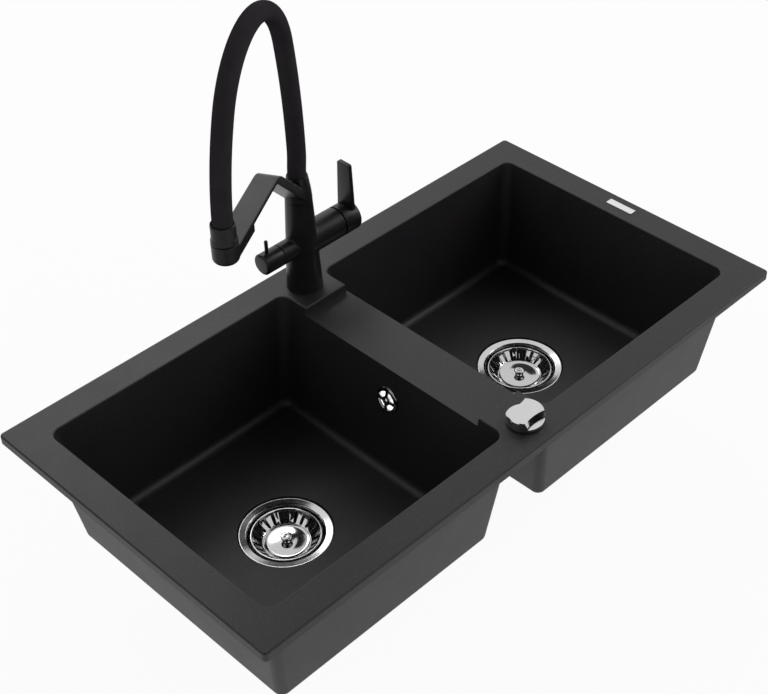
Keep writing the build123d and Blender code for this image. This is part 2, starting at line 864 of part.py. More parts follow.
with BuildPart() as plug_spindle:
    with BuildSketch(knob_plane):
        Polygon(
            (0, crank_base),
            (crank_radius, crank_base),
            (crank_radius, crank_base + crank_thick),
            (knob_spindle_radius, crank_base + crank_thick),
            (knob_spindle_radius, knob_foot + knob_base - 0.6),
            (0, knob_foot + knob_base - 0.6),
            align=None,
        )
    revolve(axis=knob_axis)
    # Hole that holds the cable's end
    with BuildSketch(Plane.XY.offset(crank_base)):
        with Locations((crank_radius - 3, knob_y)):
            Circle(1.2)
    extrude(amount=crank_thick, mode=Mode.SUBTRACT)
plug_spindle.part.label = "plug_spindle"
export_step(plug_spindle.part, "parts/plug_spindle.step")

flank_off = knob_flank + knob_waist / 2
flank_height = rim_depth + knob_height - knob_foot - knob_base
flank_foot = knob_flank - flank_height * tan(radians(knob_draft))
with BuildPart() as plug_knob:
    with BuildSketch(Plane.XY.offset(knob_foot)):
        with Locations((0, knob_y)):
            Circle(knob_radius)
    extrude(amount=rim_depth + knob_height - knob_foot)
    fillet(plug_knob.edges().group_by(Axis.Z)[-1], knob_edge)
    with Locations(
        (0, knob_y + flank_off, knob_foot + knob_base),
        (0, knob_y - flank_off, knob_foot + knob_base),
    ):
        Cone(
            flank_foot,
            knob_flank,
            flank_height,
            align=(Align.CENTER, Align.CENTER, Align.MIN),
            mode=Mode.SUBTRACT,
        )
    with BuildSketch(knob_plane):
        Polygon(
            (knob_spindle_radius + 3, knob_foot),
            (knob_radius - knob_wall, knob_foot),
            (knob_radius - knob_wall, knob_foot + knob_base / 2),
            (knob_spindle_radius + 3, knob_foot + knob_base / 2),
            align=None,
        )
    revolve(axis=knob_axis, mode=Mode.SUBTRACT)
    with BuildSketch(Plane.XY.offset(knob_foot)):
        with Locations((0, knob_y)):
            Circle(knob_spindle_radius + snug)
    extrude(amount=knob_base - 0.5, mode=Mode.SUBTRACT)
plug_knob.part.label = "plug_knob"
export_step(plug_knob.part, "parts/plug_knob.step")

# ---------------------------------------------------------------- tap body and its fixing
tap = upright(0, tap_y, rim_depth)
tap_axis = spin(0, tap_y)
web_under = web_base - rim_depth  # heights from here on count from the ledge's top
rubber_base = web_under - clamp_rubber
metal_base = rubber_base - clamp_metal
nut_base = metal_base - nut_thick


def tap_level(height):
    """Horizontal plane at a height above the ledge."""
    return Plane.XY.offset(rim_depth + height)


with BuildPart() as tap_gasket:
    with BuildSketch(tap):
        Polygon(
            (shank_radius + 2, 0),
            (foot_radius - 0.7, 0),
            (foot_radius - 0.7, foot_gasket),
            (shank_radius + 2, foot_gasket),
            align=None,
        )
    revolve(axis=tap_axis)
tap_gasket.part.label = "tap_gasket"
export_step(tap_gasket.part, "parts/tap_gasket.step")

with BuildPart() as tap_body:
    with BuildSketch(tap):
        Polygon(
            (0, foot_gasket),
            (foot_radius, foot_gasket),
            (neck_radius, body_height),
            (0, body_height),
            align=None,
        )
    revolve(axis=tap_axis)
    with BuildSketch(facing_x(0, tap_y, rim_depth + mixer_height)):
        Circle(mixer_radius)
    extrude(amount=mixer_end)
    with BuildSketch(facing_x(0, tap_y, rim_depth + filter_height, way=-1)):
        Circle(filter_radius)
    extrude(amount=filter_end)
    fillet(tap_body.edges().filter_by(GeomType.BSPLINE), barrel_blend)
    fillet(tap_body.faces().sort_by(Axis.X)[-1].edges(), 0.5)
    fillet(tap_body.faces().sort_by(Axis.X)[0].edges(), 0.5)
    # Threaded socket for the shank, water passage and seat of the swivel tube
    with BuildSketch(tap):
        Polygon(
            (0, 0),
            (shank_radius + snug, 0),
            (shank_radius + snug, shank_engaged + foot_gasket),
            (body_passage, shank_engaged + 6),
            (body_passage, body_height - swivel_engaged - 2),
            (swivel_radius + snug, body_height - swivel_engaged),
            (swivel_radius + snug, body_height),
            (0, body_height),
            align=None,
        )
    revolve(axis=tap_axis, mode=Mode.SUBTRACT)
    with BuildSketch(facing_x(mixer_bore_start, tap_y, rim_depth + mixer_height)):
        Circle(mixer_bore)
    extrude(amount=mixer_end, mode=Mode.SUBTRACT)
    with BuildSketch(facing_x(0, tap_y, rim_depth + mixer_height)):
        Circle(body_passage / 2)
    extrude(amount=mixer_end, mode=Mode.SUBTRACT)
    with BuildSketch(facing_x(-filter_bore_start, tap_y, rim_depth + filter_height, way=-1)):
        Circle(filter_bore)
    extrude(amount=filter_end, mode=Mode.SUBTRACT)
tap_body.part.label = "tap_body"
export_step(tap_body.part, "parts/tap_body.step")

with BuildPart() as tap_shank:
    with BuildSketch(tap_level(shank_engaged - shank_length)):
        with Locations((0, tap_y)):
            Circle(shank_radius)
            Circle(shank_bore, mode=Mode.SUBTRACT)
    extrude(amount=shank_length)
    chamfer(tap_shank.edges().filter_by(GeomType.CIRCLE).group_by(Axis.Z)[0], 0.8)
tap_shank.part.label = "tap_shank"
export_step(tap_shank.part, "parts/tap_shank.step")

with BuildPart() as clamp_washer_rubber:
    with BuildSketch(tap_level(rubber_base)):
        with Locations((0, tap_y)):
            Circle(clamp_radius)
            Circle(shank_radius + loose, mode=Mode.SUBTRACT)
        with Locations((0, tap_y - clamp_radius)):
            Rectangle(clamp_slot, 2 * clamp_radius, mode=Mode.SUBTRACT)
    extrude(amount=clamp_rubber)
clamp_washer_rubber.part.label = "clamp_washer_rubber"
export_step(clamp_washer_rubber.part, "parts/clamp_washer_rubber.step")

with BuildPart() as clamp_washer_metal:
    with BuildSketch(tap_level(metal_base)):
        with Locations((0, tap_y)):
            Circle(clamp_radius)
            Circle(shank_radius + loose, mode=Mode.SUBTRACT)
        with Locations((0, tap_y - clamp_radius)):
            Rectangle(clamp_slot, 2 * clamp_radius, mode=Mode.SUBTRACT)
    extrude(amount=clamp_metal)
clamp_washer_metal.part.label = "clamp_washer_metal"
export_step(clamp_washer_metal.part, "parts/clamp_washer_metal.step")

with BuildPart() as fixing_nut:
    with BuildSketch(tap_level(nut_base)):
        with Locations((0, tap_y)):
            RegularPolygon(nut_flats / 2, 6, major_radius=False)
            Circle(shank_radius + snug, mode=Mode.SUBTRACT)
    extrude(amount=nut_thick)
fixing_nut.part.label = "fixing_nut"
export_step(fixing_nut.part, "parts/fixing_nut.step")

with BuildPart() as swivel_tube:
    with BuildSketch(tap_level(body_height - swivel_engaged)):
        with Locations((0, tap_y)):
            Circle(swivel_radius)
            Circle(swivel_bore, mode=Mode.SUBTRACT)
    extrude(amount=swivel_top - body_height + swivel_engaged)
    chamfer(swivel_tube.edges().group_by(Axis.Z)[-1], small_chamfer)
swivel_tube.part.label = "swivel_tube"
export_step(swivel_tube.part, "parts/swivel_tube.step")

with BuildPart() as swivel_washer:
    with BuildSketch(tap_level(body_height)):
        with Locations((0, tap_y)):
            Circle(neck_radius - 1)
            Circle(swivel_radius + loose, mode=Mode.SUBTRACT)
    extrude(amount=washer_thick)
swivel_washer.part.label = "swivel_washer"
export_step(swivel_washer.part, "parts/swivel_washer.step")

# ---------------------------------------------------------------- mixer cartridge and lever
mixer_z = rim_depth + mixer_height
lever_start = mixer_end + lever_gap
lever_cavity_end = lever_start + lever_cavity_depth
spindle_end = lever_cavity_end - 1
spindle_start = mixer_ring_start - spindle_grip + 4

with BuildPart() as mixer_cartridge:
    with BuildSketch(facing_x(mixer_bore_start, tap_y, mixer_z)):
        Circle(mixer_bore - snug)
    extrude(amount=mixer_ring_start - mixer_bore_start)
    with BuildSketch(facing_x(spindle_start - 1, tap_y, mixer_z)):
        Circle(spindle_radius + running)
    extrude(amount=mixer_ring_start - spindle_start + 1, mode=Mode.SUBTRACT)
mixer_cartridge.part.label = "mixer_cartridge"
export_step(mixer_cartridge.part, "parts/mixer_cartridge.step")

with BuildPart() as mixer_ring:
    with BuildSketch(facing_x(mixer_ring_start, tap_y, mixer_z)):
        Circle(mixer_bore - snug)
        Circle(mixer_ring_inner, mode=Mode.SUBTRACT)
    extrude(amount=mixer_end + lever_gap / 2 - mixer_ring_start)
mixer_ring.part.label = "mixer_ring"
export_step(mixer_ring.part, "parts/mixer_ring.step")

with BuildPart() as mixer_spindle:
    with BuildSketch(facing_x(spindle_start, tap_y, mixer_z)):
        Circle(spindle_radius)
    extrude(amount=spindle_end - spindle_start)
    chamfer(mixer_spindle.edges(), small_chamfer)
mixer_spindle.part.label = "mixer_spindle"
export_step(mixer_spindle.part, "parts/mixer_spindle.step")

with BuildPart() as lever:
    with BuildSketch(facing_x(lever_start, tap_y, mixer_z)):
        Circle(mixer_radius)
    extrude(amount=lever_end - lever_start)
    fillet(lever.faces().sort_by(Axis.X)[-1].edges(), lever_round)
    fillet(lever.faces().sort_by(Axis.X)[0].edges(), 0.5)
    with BuildSketch(facing_x(blade_start, tap_y, rim_depth)):
        Polygon(
            (-blade_foot_width / 2, blade_foot),
            (blade_foot_width / 2, blade_foot),
            (blade_foot_width / 2, blade_shoulder),
            (blade_top_width / 2, blade_top),
            (-blade_top_width / 2, blade_top),
            (-blade_foot_width / 2, blade_shoulder),
            align=None,
        )
    extrude(amount=blade_thick)
    with BuildSketch(facing_x(lever_start, tap_y, mixer_z)):
        Circle(lever_cavity)
        Circle(lever_boss, mode=Mode.SUBTRACT)
    extrude(amount=lever_cavity_depth, mode=Mode.SUBTRACT)
    with BuildSketch(facing_x(lever_start, tap_y, mixer_z)):
        Circle(spindle_radius + snug)
    extrude(amount=lever_cavity_depth, mode=Mode.SUBTRACT)
    with BuildSketch(Plane.XY.offset(mixer_z)):
        with Locations((grub_x, tap_y)):
            Circle(grub_radius + snug)
    extrude(amount=mixer_radius + 1, mode=Mode.SUBTRACT)
lever.part.label = "lever"
export_step(lever.part, "parts/lever.step")

with BuildPart() as grub_screw:
    with BuildSketch(Plane.XY.offset(mixer_z + spindle_radius)):
        with Locations((grub_x, tap_y)):
            Circle(grub_radius)
    extrude(amount=mixer_radius - grub_sunk - spindle_radius)
    with BuildSketch(Plane.XY.offset(mixer_z + mixer_radius - grub_sunk)):
        with Locations((grub_x, tap_y)):
            RegularPolygon(grub_radius / 2, 6)
    extrude(amount=-2.5, mode=Mode.SUBTRACT)
grub_screw.part.label = "grub_screw"
export_step(grub_screw.part, "parts/grub_screw.step")

# ---------------------------------------------------------------- filtered water valve and knob
filter_z = rim_depth + filter_height
filter_knob_start = filter_end + filter_knob_gap
filter_spindle_start = filter_end - 9
filter_spindle_end = filter_pin_x - filter_pin_radius - 1

with BuildPart() as filter_valve:
    with BuildSketch(facing_x(-filter_bore_start, tap_y, filter_z, way=-1)):
        Circle(filter_bore - snug)
    extrude(amount=filter_end - filter_bore_start - 1)
    with BuildSketch(facing_x(1 - filter_spindle_start, tap_y, filter_z, way=-1)):
        Circle(spindle_radius + running)
    extrude(amount=filter_end, mode=Mode.SUBTRACT)
filter_valve.part.label = "filter_valve"
export_step(filter_valve.part, "parts/filter_valve.step")

with BuildPart() as filter_spindle:
    with BuildSketch(facing_x(-filter_spindle_start, tap_y, filter_z, way=-1)):
        Circle(spindle_radius)
    extrude(amount=filter_spindle_end - filter_spindle_start)
    chamfer(filter_spindle.edges(), small_chamfer)
filter_spindle.part.label = "filter_spindle"
export_step(filter_spindle.part, "parts/filter_spindle.step")

with BuildPart() as filter_knob:
    with BuildSketch(facing_x(-filter_knob_start, tap_y, filter_z, way=-1)):
        Circle(filter_radius)
    extrude(amount=filter_knob_end - filter_knob_start)
    chamfer(filter_knob.faces().sort_by(Axis.X)[0].edges(), filter_knob_chamfer)
    fillet(filter_knob.faces().sort_by(Axis.X)[-1].edges(), 0.5)
    with BuildSketch(facing_x(-filter_knob_start, tap_y, filter_z, way=-1)):
        Circle(filter_knob_cavity)
        Circle(spindle_radius + 2, mode=Mode.SUBTRACT)
    extrude(amount=filter_cavity_depth, mode=Mode.SUBTRACT)
    with BuildSketch(facing_x(-filter_knob_start, tap_y, filter_z, way=-1)):
        Circle(spindle_radius + snug)
    extrude(amount=filter_spindle_end - filter_knob_start + 0.2, mode=Mode.SUBTRACT)
    with BuildSketch(Plane.XY.offset(filter_z + spindle_radius)):
        with Locations((-filter_pin_x, tap_y)):
            Circle(filter_pin_radius + snug)
    extrude(amount=filter_radius, mode=Mode.SUBTRACT)
filter_knob.part.label = "filter_knob"
export_step(filter_knob.part, "parts/filter_knob.step")

with BuildPart() as filter_pin:
    with BuildSketch(Plane.XY.offset(filter_z + spindle_radius)):
        with Locations((-filter_pin_x, tap_y)):
            Circle(filter_pin_radius)
    extrude(amount=filter_pin_top - filter_height - spindle_radius)
    chamfer(filter_pin.edges().group_by(Axis.Z)[-1], small_chamfer)
filter_pin.part.label = "filter_pin"
export_step(filter_pin.part, "parts/filter_pin.step")

# ---------------------------------------------------------------- swivelling spout
out_x = cos(radians(swivel_azimuth))
out_y = sin(radians(swivel_azimuth))
swivel = Plane(origin=(0, tap_y, rim_depth), x_dir=(out_x, out_y, 0), z_dir=(out_y, -out_x, 0))
head_x = head_reach * out_x
head_y = tap_y + head_reach * out_y
head = upright(head_x, head_y, rim_depth)
head_axis = spin(head_x, head_y)
outlet_reach = head_reach - outlet_inset
block_start = head_reach - block_length
outlet_x = outlet_reach * out_x
outlet_y = tap_y + outlet_reach * out_y
collar_base = body_height + washer_thick
slope = tan(radians(arm_slope))
root_drop = arm_root_thick / cos(radians(arm_slope))
crest_top = arm_top + arm_rise
inner_crest = arm_crest + (root_drop - arm_thick) / slope
hose_seat = hose_radius + loose
sleeve_bore = hose_radius + 2 * loose

with BuildPart() as holder_arm:
    with BuildSketch(swivel) as arm_profile:
        Polygon(
            (arm_start, crest_top - root_drop - slope * (arm_crest - arm_start)),
            (inner_crest, crest_top - arm_thick),
            (block_start, arm_top - arm_thick),
            (block_start, block_bottom),
            (head_reach, block_bottom),
            (head_reach, arm_top),
            (arm_crest, crest_top),
            (arm_start, crest_top - slope * (arm_crest - arm_start)),
            align=None,
        )
        fillet(arm_profile.vertices().sort_by_distance((arm_crest, crest_top))[0], arm_bend)
        inner_corner = arm_profile.vertices().sort_by_distance((inner_crest, crest_top - arm_thick))[0]
        fillet(inner_corner, arm_inner_bend)
    extrude(amount=arm_width / 2, both=True)
    fillet(holder_arm.faces().filter_by(Axis((0, 0, 0), swivel.z_dir)).edges(), arm_edge)
    with BuildSketch(tap):
        Polygon(
            (0, collar_base),
            (collar_outside[0][0], collar_base),
            *collar_outside,
            (hose_seat + collar_lip, collar_top - collar_lip),
            (hose_seat + collar_lip / 2, collar_top),
            (0, collar_top),
            align=None,
        )
    revolve(axis=tap_axis)
    with BuildSketch(head) as cup_profile:
        Polygon((0, cup_bottom), (cup_outer, cup_bottom), (cup_outer, cup_top), (0, cup_top), align=None)
        fillet(cup_profile.vertices().sort_by_distance((cup_outer, cup_bottom))[0], cup_round)
        fillet(cup_profile.vertices().sort_by_distance((cup_outer, cup_top))[0], 0.6)
    revolve(axis=head_axis)
    with BuildSketch(tap):
        Polygon(
            (0, collar_base),
            (swivel_radius + running, collar_base),
            (swivel_radius + running, swivel_top + 0.2),
            (hose_seat, swivel_top + 0.2),
            (hose_seat, collar_top),
            (0, collar_top),
            align=None,
        )
    revolve(axis=tap_axis, mode=Mode.SUBTRACT)
    with BuildSketch(head):
        Polygon(
            (0, cup_bottom),
            (cup_mouth, cup_bottom),
            (cup_mouth, cup_bottom + cup_floor),
            (cup_bore, cup_bottom + cup_floor + 1),
            (cup_bore, cup_top),
            (0, cup_top),
            align=None,
        )
    revolve(axis=head_axis, mode=Mode.SUBTRACT)
    with BuildSketch(tap_level(block_bottom)):
        with Locations((outlet_x, outlet_y)):
            Circle(outlet_radius + snug)
    extrude(amount=outlet_depth, mode=Mode.SUBTRACT)
holder_arm.part.label = "holder_arm"
export_step(holder_arm.part, "parts/holder_arm.step")

with BuildPart() as filter_outlet:
    with BuildSketch(tap_level(block_bottom - outlet_stands)):
        with Locations((outlet_x, outlet_y)):
            Circle(outlet_radius)
            Circle(outlet_radius - 2, mode=Mode.SUBTRACT)
    extrude(amount=outlet_depth + outlet_stands - 0.2)
    with BuildSketch(tap_level(block_bottom)):
        with Locations((outlet_x, outlet_y)):
            Circle(outlet_radius - 1)
            with PolarLocations(outlet_radius / 2 - 0.4, 6):
                Circle(outlet_hole, mode=Mode.SUBTRACT)
    extrude(amount=outlet_plate)
filter_outlet.part.label = "filter_outlet"
export_step(filter_outlet.part, "parts/filter_outlet.step")

# The hose leaves the collar upright, leans back a little and comes over in one arch.
# Its last bend takes what is left of the reach, its two straight ends what is left of the height.
hose_bends = (
    (hose_back_radius, hose_back_angle),
    (hose_return_radius, -hose_return_angle),
    (hose_rise_radius, -hose_rise_angle),
    (hose_top_share * head_reach, -hose_top_angle),
    (hose_fall_share * head_reach, -hose_fall_angle),
)
bends_reach = 0.0
bends_rise = 0.0
heading = radians(90.0)
for bend_radius, turn in hose_bends:
    ahead = heading + radians(turn)
    signed = bend_radius if turn > 0 else -bend_radius
    bends_reach += signed * (sin(ahead) - sin(heading))
    bends_rise += signed * (cos(heading) - cos(ahead))
    heading = ahead
drop_turn = degrees(heading) + 90
drop_radius = (head_reach - bends_reach) / (1 - cos(radians(drop_turn)))
straights_apart = hose_end - hose_start - bends_rise + drop_radius * sin(radians(drop_turn))
straights_sum = sqrt(straights_apart**2 + 4 * hose_straights)
hose_straight = (straights_sum + straights_apart) / 2
hose_straight_end = hose_start + hose_straight
drop_end = hose_end + (straights_sum - straights_apart) / 2
nipple_length = nipple_share * hose_straight

with BuildPart() as hose:
    with BuildLine(swivel) as hose_path:
        Line((0, hose_start), (0, hose_straight_end))
        reach = 0.0
        height = hose_straight_end
        heading = 90.0
        for bend_radius, turn in hose_bends:
            way = 1 if turn > 0 else -1
            start_angle = heading - way * 90
            centre = (
                reach - bend_radius * cos(radians(start_angle)),
                height - bend_radius * sin(radians(start_angle)),
            )
            CenterArc(centre, bend_radius, start_angle, turn)
            heading += turn
            reach = centre[0] + bend_radius * cos(radians(start_angle + turn))
            height = centre[1] + bend_radius * sin(radians(start_angle + turn))
        CenterArc((head_reach - drop_radius, drop_end), drop_radius, drop_turn, -drop_turn)
        Line((head_reach, drop_end), (head_reach, hose_end))
    with BuildSketch(tap_level(hose_start)):
        with Locations((0, tap_y)):
            Circle(hose_radius)
            Circle(hose_bore, mode=Mode.SUBTRACT)
    sweep(path=hose_path.line)
hose.part.label = "hose"
export_step(hose.part, "parts/hose.step")

with BuildPart() as hose_root_nipple:
    with BuildSketch(tap):
        Polygon(
            (nipple_bore, hose_start - nipple_flange),
            (hose_radius - 0.4, hose_start - nipple_flange),
            (hose_radius - 0.4, hose_start),
            (hose_bore - snug, hose_start),
            (hose_bore - snug, hose_start + nipple_length),
            (nipple_bore, hose_start + nipple_length),
            align=None,
        )
    revolve(axis=tap_axis)
hose_root_nipple.part.label = "hose_root_nipple"
export_step(hose_root_nipple.part, "parts/hose_root_nipple.step")

with BuildPart() as hose_head_nipple:
    with BuildSketch(head):
        Polygon(
            (nipple_bore, hose_end - nipple_flange),
            (hose_radius - 0.4, hose_end - nipple_flange),
            (hose_radius - 0.4, hose_end),
            (hose_bore - snug, hose_end),
            (hose_bore - snug, hose_end + head_nipple_length),
            (nipple_bore, hose_end + head_nipple_length),
            align=None,
        )
    revolve(axis=head_axis)
hose_head_nipple.part.label = "hose_head_nipple"
export_step(hose_head_nipple.part, "parts/hose_head_nipple.step")

with BuildPart() as head_sleeve:
    with BuildSketch(head):
        Polygon(
            (nozzle_passage, cup_top + sleeve_gap),
            (sleeve_radius - 0.5, cup_top + sleeve_gap),
            (sleeve_radius, cup_top + sleeve_gap + 0.5),
            (sleeve_radius, cup_top + sleeve_gap + 3),
            (sleeve_waist, cup_top + sleeve_gap + 7),
            (sleeve_waist, sleeve_top - 1.5),
            (sleeve_waist - 0.6, sleeve_top),
            (sleeve_bore, sleeve_top),
            (sleeve_bore, sleeve_floor),
            (nozzle_passage, sleeve_floor),
            align=None,
        )
    revolve(axis=head_axis)
head_sleeve.part.label = "head_sleeve"
export_step(head_sleeve.part, "parts/head_sleeve.step")

with BuildPart() as spray_nozzle:
    with BuildSketch(head):
        Polygon(
            (nozzle_passage, cup_bottom + aerator_length + 1),
            (aerator_radius + snug, cup_bottom + aerator_length),
            (aerator_radius + snug, cup_bottom + 0.3),
            (nozzle_tip, cup_bottom + 0.3),
            (nozzle_tip, cup_bottom + cup_floor + 1.5),
            (nozzle_radius, cup_bottom + cup_floor + 2.5),
            (nozzle_radius, cup_top + sleeve_gap),
            (nozzle_passage, cup_top + sleeve_gap),
            align=None,
        )
    revolve(axis=head_axis)
spray_nozzle.part.label = "spray_nozzle"
export_step(spray_nozzle.part, "parts/spray_nozzle.step")

with BuildPart() as aerator:
    with BuildSketch(tap_level(cup_bottom)):
        with Locations((head_x, head_y)):
            Circle(aerator_radius)
            with PolarLocations(aerator_radius * ring_share, 8):
                Circle(aerator_hole, mode=Mode.SUBTRACT)
            Circle(aerator_hole, mode=Mode.SUBTRACT)
    extrude(amount=aerator_length)
aerator.part.label = "aerator"
export_step(aerator.part, "parts/aerator.step")
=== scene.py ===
"""Dresses a double bowl composite sink and its swivel hose tap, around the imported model."""

import json
import logging
from dataclasses import dataclass, replace
from enum import Enum
from math import atan2, cos, pi, radians, sin, sqrt, tan
from typing import Any, Callable, Iterable, Sequence

import bmesh
import bpy
from mathutils import Matrix, Vector


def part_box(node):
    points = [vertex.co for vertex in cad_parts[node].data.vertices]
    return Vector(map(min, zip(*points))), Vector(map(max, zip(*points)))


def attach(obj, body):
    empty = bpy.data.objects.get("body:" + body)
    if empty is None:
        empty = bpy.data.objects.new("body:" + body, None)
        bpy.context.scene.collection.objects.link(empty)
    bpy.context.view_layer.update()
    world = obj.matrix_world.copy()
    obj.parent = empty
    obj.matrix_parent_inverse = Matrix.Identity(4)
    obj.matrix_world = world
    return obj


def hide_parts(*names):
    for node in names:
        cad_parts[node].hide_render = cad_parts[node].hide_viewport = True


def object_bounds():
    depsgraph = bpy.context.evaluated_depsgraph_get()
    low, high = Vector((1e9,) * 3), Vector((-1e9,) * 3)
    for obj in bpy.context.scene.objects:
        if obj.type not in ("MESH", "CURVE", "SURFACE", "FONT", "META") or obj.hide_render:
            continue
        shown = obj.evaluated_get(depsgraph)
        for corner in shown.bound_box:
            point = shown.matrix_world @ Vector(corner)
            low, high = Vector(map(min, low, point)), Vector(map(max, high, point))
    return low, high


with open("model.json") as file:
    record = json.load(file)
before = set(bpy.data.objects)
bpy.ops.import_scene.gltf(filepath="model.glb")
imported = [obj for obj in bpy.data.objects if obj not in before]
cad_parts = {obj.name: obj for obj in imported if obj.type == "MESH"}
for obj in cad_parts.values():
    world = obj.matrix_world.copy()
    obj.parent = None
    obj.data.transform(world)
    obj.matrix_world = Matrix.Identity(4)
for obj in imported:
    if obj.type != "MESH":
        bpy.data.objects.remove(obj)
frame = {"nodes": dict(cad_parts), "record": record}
CAD_LOW, CAD_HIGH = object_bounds()
log = logging.getLogger("sink")
Colour = tuple[float, float, float]
Point = Sequence[float]
Profile = tuple[tuple[float, float], ...]
MM = 0.001
WELD = 0.002 * MM


# ---------------------------------------------------------------- shader tools
class Signal:
    """A shader value that takes part in Python arithmetic."""

    def __init__(self, desk: "Desk", socket: bpy.types.NodeSocket) -> None:
        """Keeps the socket and the desk that its Math nodes are added to."""
        self.desk = desk
        self.socket = socket

    def _math(self, operation: str, *values: Any) -> "Signal":
        """Adds one Math node.

        Args:
            operation: The Math node's operation.
            values: Its inputs, as numbers or signals.

        Returns:
            The node's value as a signal.
        """
        node = self.desk.add("Math", {"operation": operation}, dict(enumerate(values)))
        return Signal(self.desk, node.outputs[0])

    def __add__(self, other: Any) -> "Signal":
        """Sum."""
        return self._math("ADD", self, other)

    def __radd__(self, other: Any) -> "Signal":
        """Reflected sum."""
        return self._math("ADD", other, self)

    def __mul__(self, other: Any) -> "Signal":
        """Product."""
        return self._math("MULTIPLY", self, other)

    def __rmul__(self, other: Any) -> "Signal":
        """Reflected product."""
        return self._math("MULTIPLY", other, self)

    def __pow__(self, other: Any) -> "Signal":
        """Power."""
        return self._math("POWER", self, other)

    def above(self, edge: float) -> "Signal":
        """One where the value is above the edge, else zero."""
        return self._math("GREATER_THAN", self, edge)

    def larger(self, other: Any) -> "Signal":
        """The larger of two values."""
        return self._math("MAXIMUM", self, other)

    def spread(self, low: float, high: float, to_low: float = 0.0, to_high: float = 1.0) -> "Signal":
        """Stretches a range of the value.

        Args:
            low: The value that becomes to_low.
            high: The value that becomes to_high.
            to_low: Lower end of the new range.
            to_high: Upper end of the new range.

        Returns:
            The value in its new range, held at its ends.
        """
        node = self.desk.add("MapRange", {}, {0: self, 1: low, 2: high, 3: to_low, 4: to_high})
        return Signal(self.desk, node.outputs[0])


class Desk:
    """The node tree of one material or of the world."""

    def __init__(self, owner: bpy.types.Material | bpy.types.World) -> None:
        """Empties the node tree of its owner.

        Args:
            owner: The material or the world.
        """
        owner.use_nodes = True
        self.owner = owner
        self.tree = owner.node_tree
        self.tree.nodes.clear()

    def add(self, kind: str, settings: dict[str, Any] | None = None,
            inputs: dict[Any, Any] | None = None) -> bpy.types.Node:
        """Adds a node, sets it, and then fills its sockets.

        Args:
            kind: The node's type without its ShaderNode prefix.
            settings: The node's own settings.
            inputs: Values or links by socket name or number.

        Returns:
            The new node.
        """
        node = self.tree.nodes.new("ShaderNode" + kind)
        for name, value in (settings or {}).items():
            setattr(node, name, value)
        for key, value in (inputs or {}).items():
            source = value.socket if isinstance(value, Signal) else value
            if isinstance(source, bpy.types.NodeSocket):
                self.tree.links.new(source, node.inputs[key])
            else:
                node.inputs[key].default_value = source
        return node

    def place(self, centre: Point = (0, 0, 0), scale: Point = (1, 1, 1)) -> bpy.types.NodeSocket:
        """Object coordinates counted from a centre.

        Args:
            centre: The point that becomes zero, in metres.
            scale: Stretch along each axis.

        Returns:
            The vector socket.
        """
        source = self.add("TexCoord")
        moved = self.add("Mapping", {"vector_type": "TEXTURE"},
                         {0: source.outputs["Object"], 1: tuple(centre)})
        return self.add("Mapping", {}, {0: moved.outputs[0], 3: tuple(scale)}).outputs[0]

    def split(self, vector: bpy.types.NodeSocket) -> tuple[Signal, Signal, Signal]:
        """The three parts of a vector as signals."""
        parts = self.add("SeparateXYZ", {}, {0: vector})
        return tuple(Signal(self, socket) for socket in parts.outputs)

    def noise(self, vector: bpy.types.NodeSocket, size: float, detail: float = 2.0,
              rough: float = 0.5) -> Signal:
        """Smooth noise.

        Args:
            vector: Where it is read.
            size: Size of its main features in the vector's units.
            detail: Number of finer layers.
            rough: Strength of the finer layers.

        Returns:
            The noise from 0 to 1.
        """
        node = self.add("TexNoise", {}, {"Vector": vector, "Scale": 1 / size, "Detail": detail,
                                         "Roughness": rough})
        return Signal(self, node.outputs[0])

    def cells(self, vector: bpy.types.NodeSocket, size: float) -> tuple[Signal, Signal]:
        """Round grains.

        Args:
            vector: Where they are read.
            size: Size of a grain's cell.

        Returns:
            Distance from a grain's middle in cells, and the grain's own random number.
        """
        node = self.add("TexVoronoi", {}, {"Vector": vector, "Scale": 1 / size})
        channels = self.add("SeparateColor", {}, {0: node.outputs["Color"]})
        return Signal(self, node.outputs["Distance"]), Signal(self, channels.outputs[0])

    def blend(self, share: Signal, low: Colour | bpy.types.NodeSocket,
              high: Colour) -> bpy.types.NodeSocket:
        """Mixes two colours.

        Args:
            share: Zero for the low colour and one for the high colour.
            low: First colour, or the socket that gives it.
            high: Second colour.

        Returns:
            The mixed colour socket.
        """
        first = low if isinstance(low, bpy.types.NodeSocket) else (*low, 1.0)
        node = self.add("Mix", {"data_type": "RGBA"}, {0: share, 6: first, 7: (*high, 1.0)})
        return node.outputs[2]

    def bump(self, height: Signal, depth: float, strength: float) -> bpy.types.NodeSocket:
        """Surface relief.

        Args:
            height: Height from 0 to 1.
            depth: Real depth of the relief in metres.
            strength: Share of the effect.

        Returns:
            The normal socket.
        """
        node = self.add("Bump", {}, {"Height": height, "Distance": depth, "Strength": strength})
        return node.outputs[0]

    def surface(self, **inputs: Any) -> bpy.types.Material:
        """Ends the tree with a Principled shader.

        Args:
            inputs: Its sockets, with spaces written as underscores.

        Returns:
            The finished material.
        """
        named = {key.replace("_", " "): value for key, value in inputs.items()}
        shader = self.add("BsdfPrincipled", {}, named)
        self.add("OutputMaterial", {}, {0: shader.outputs[0]})
        return self.owner


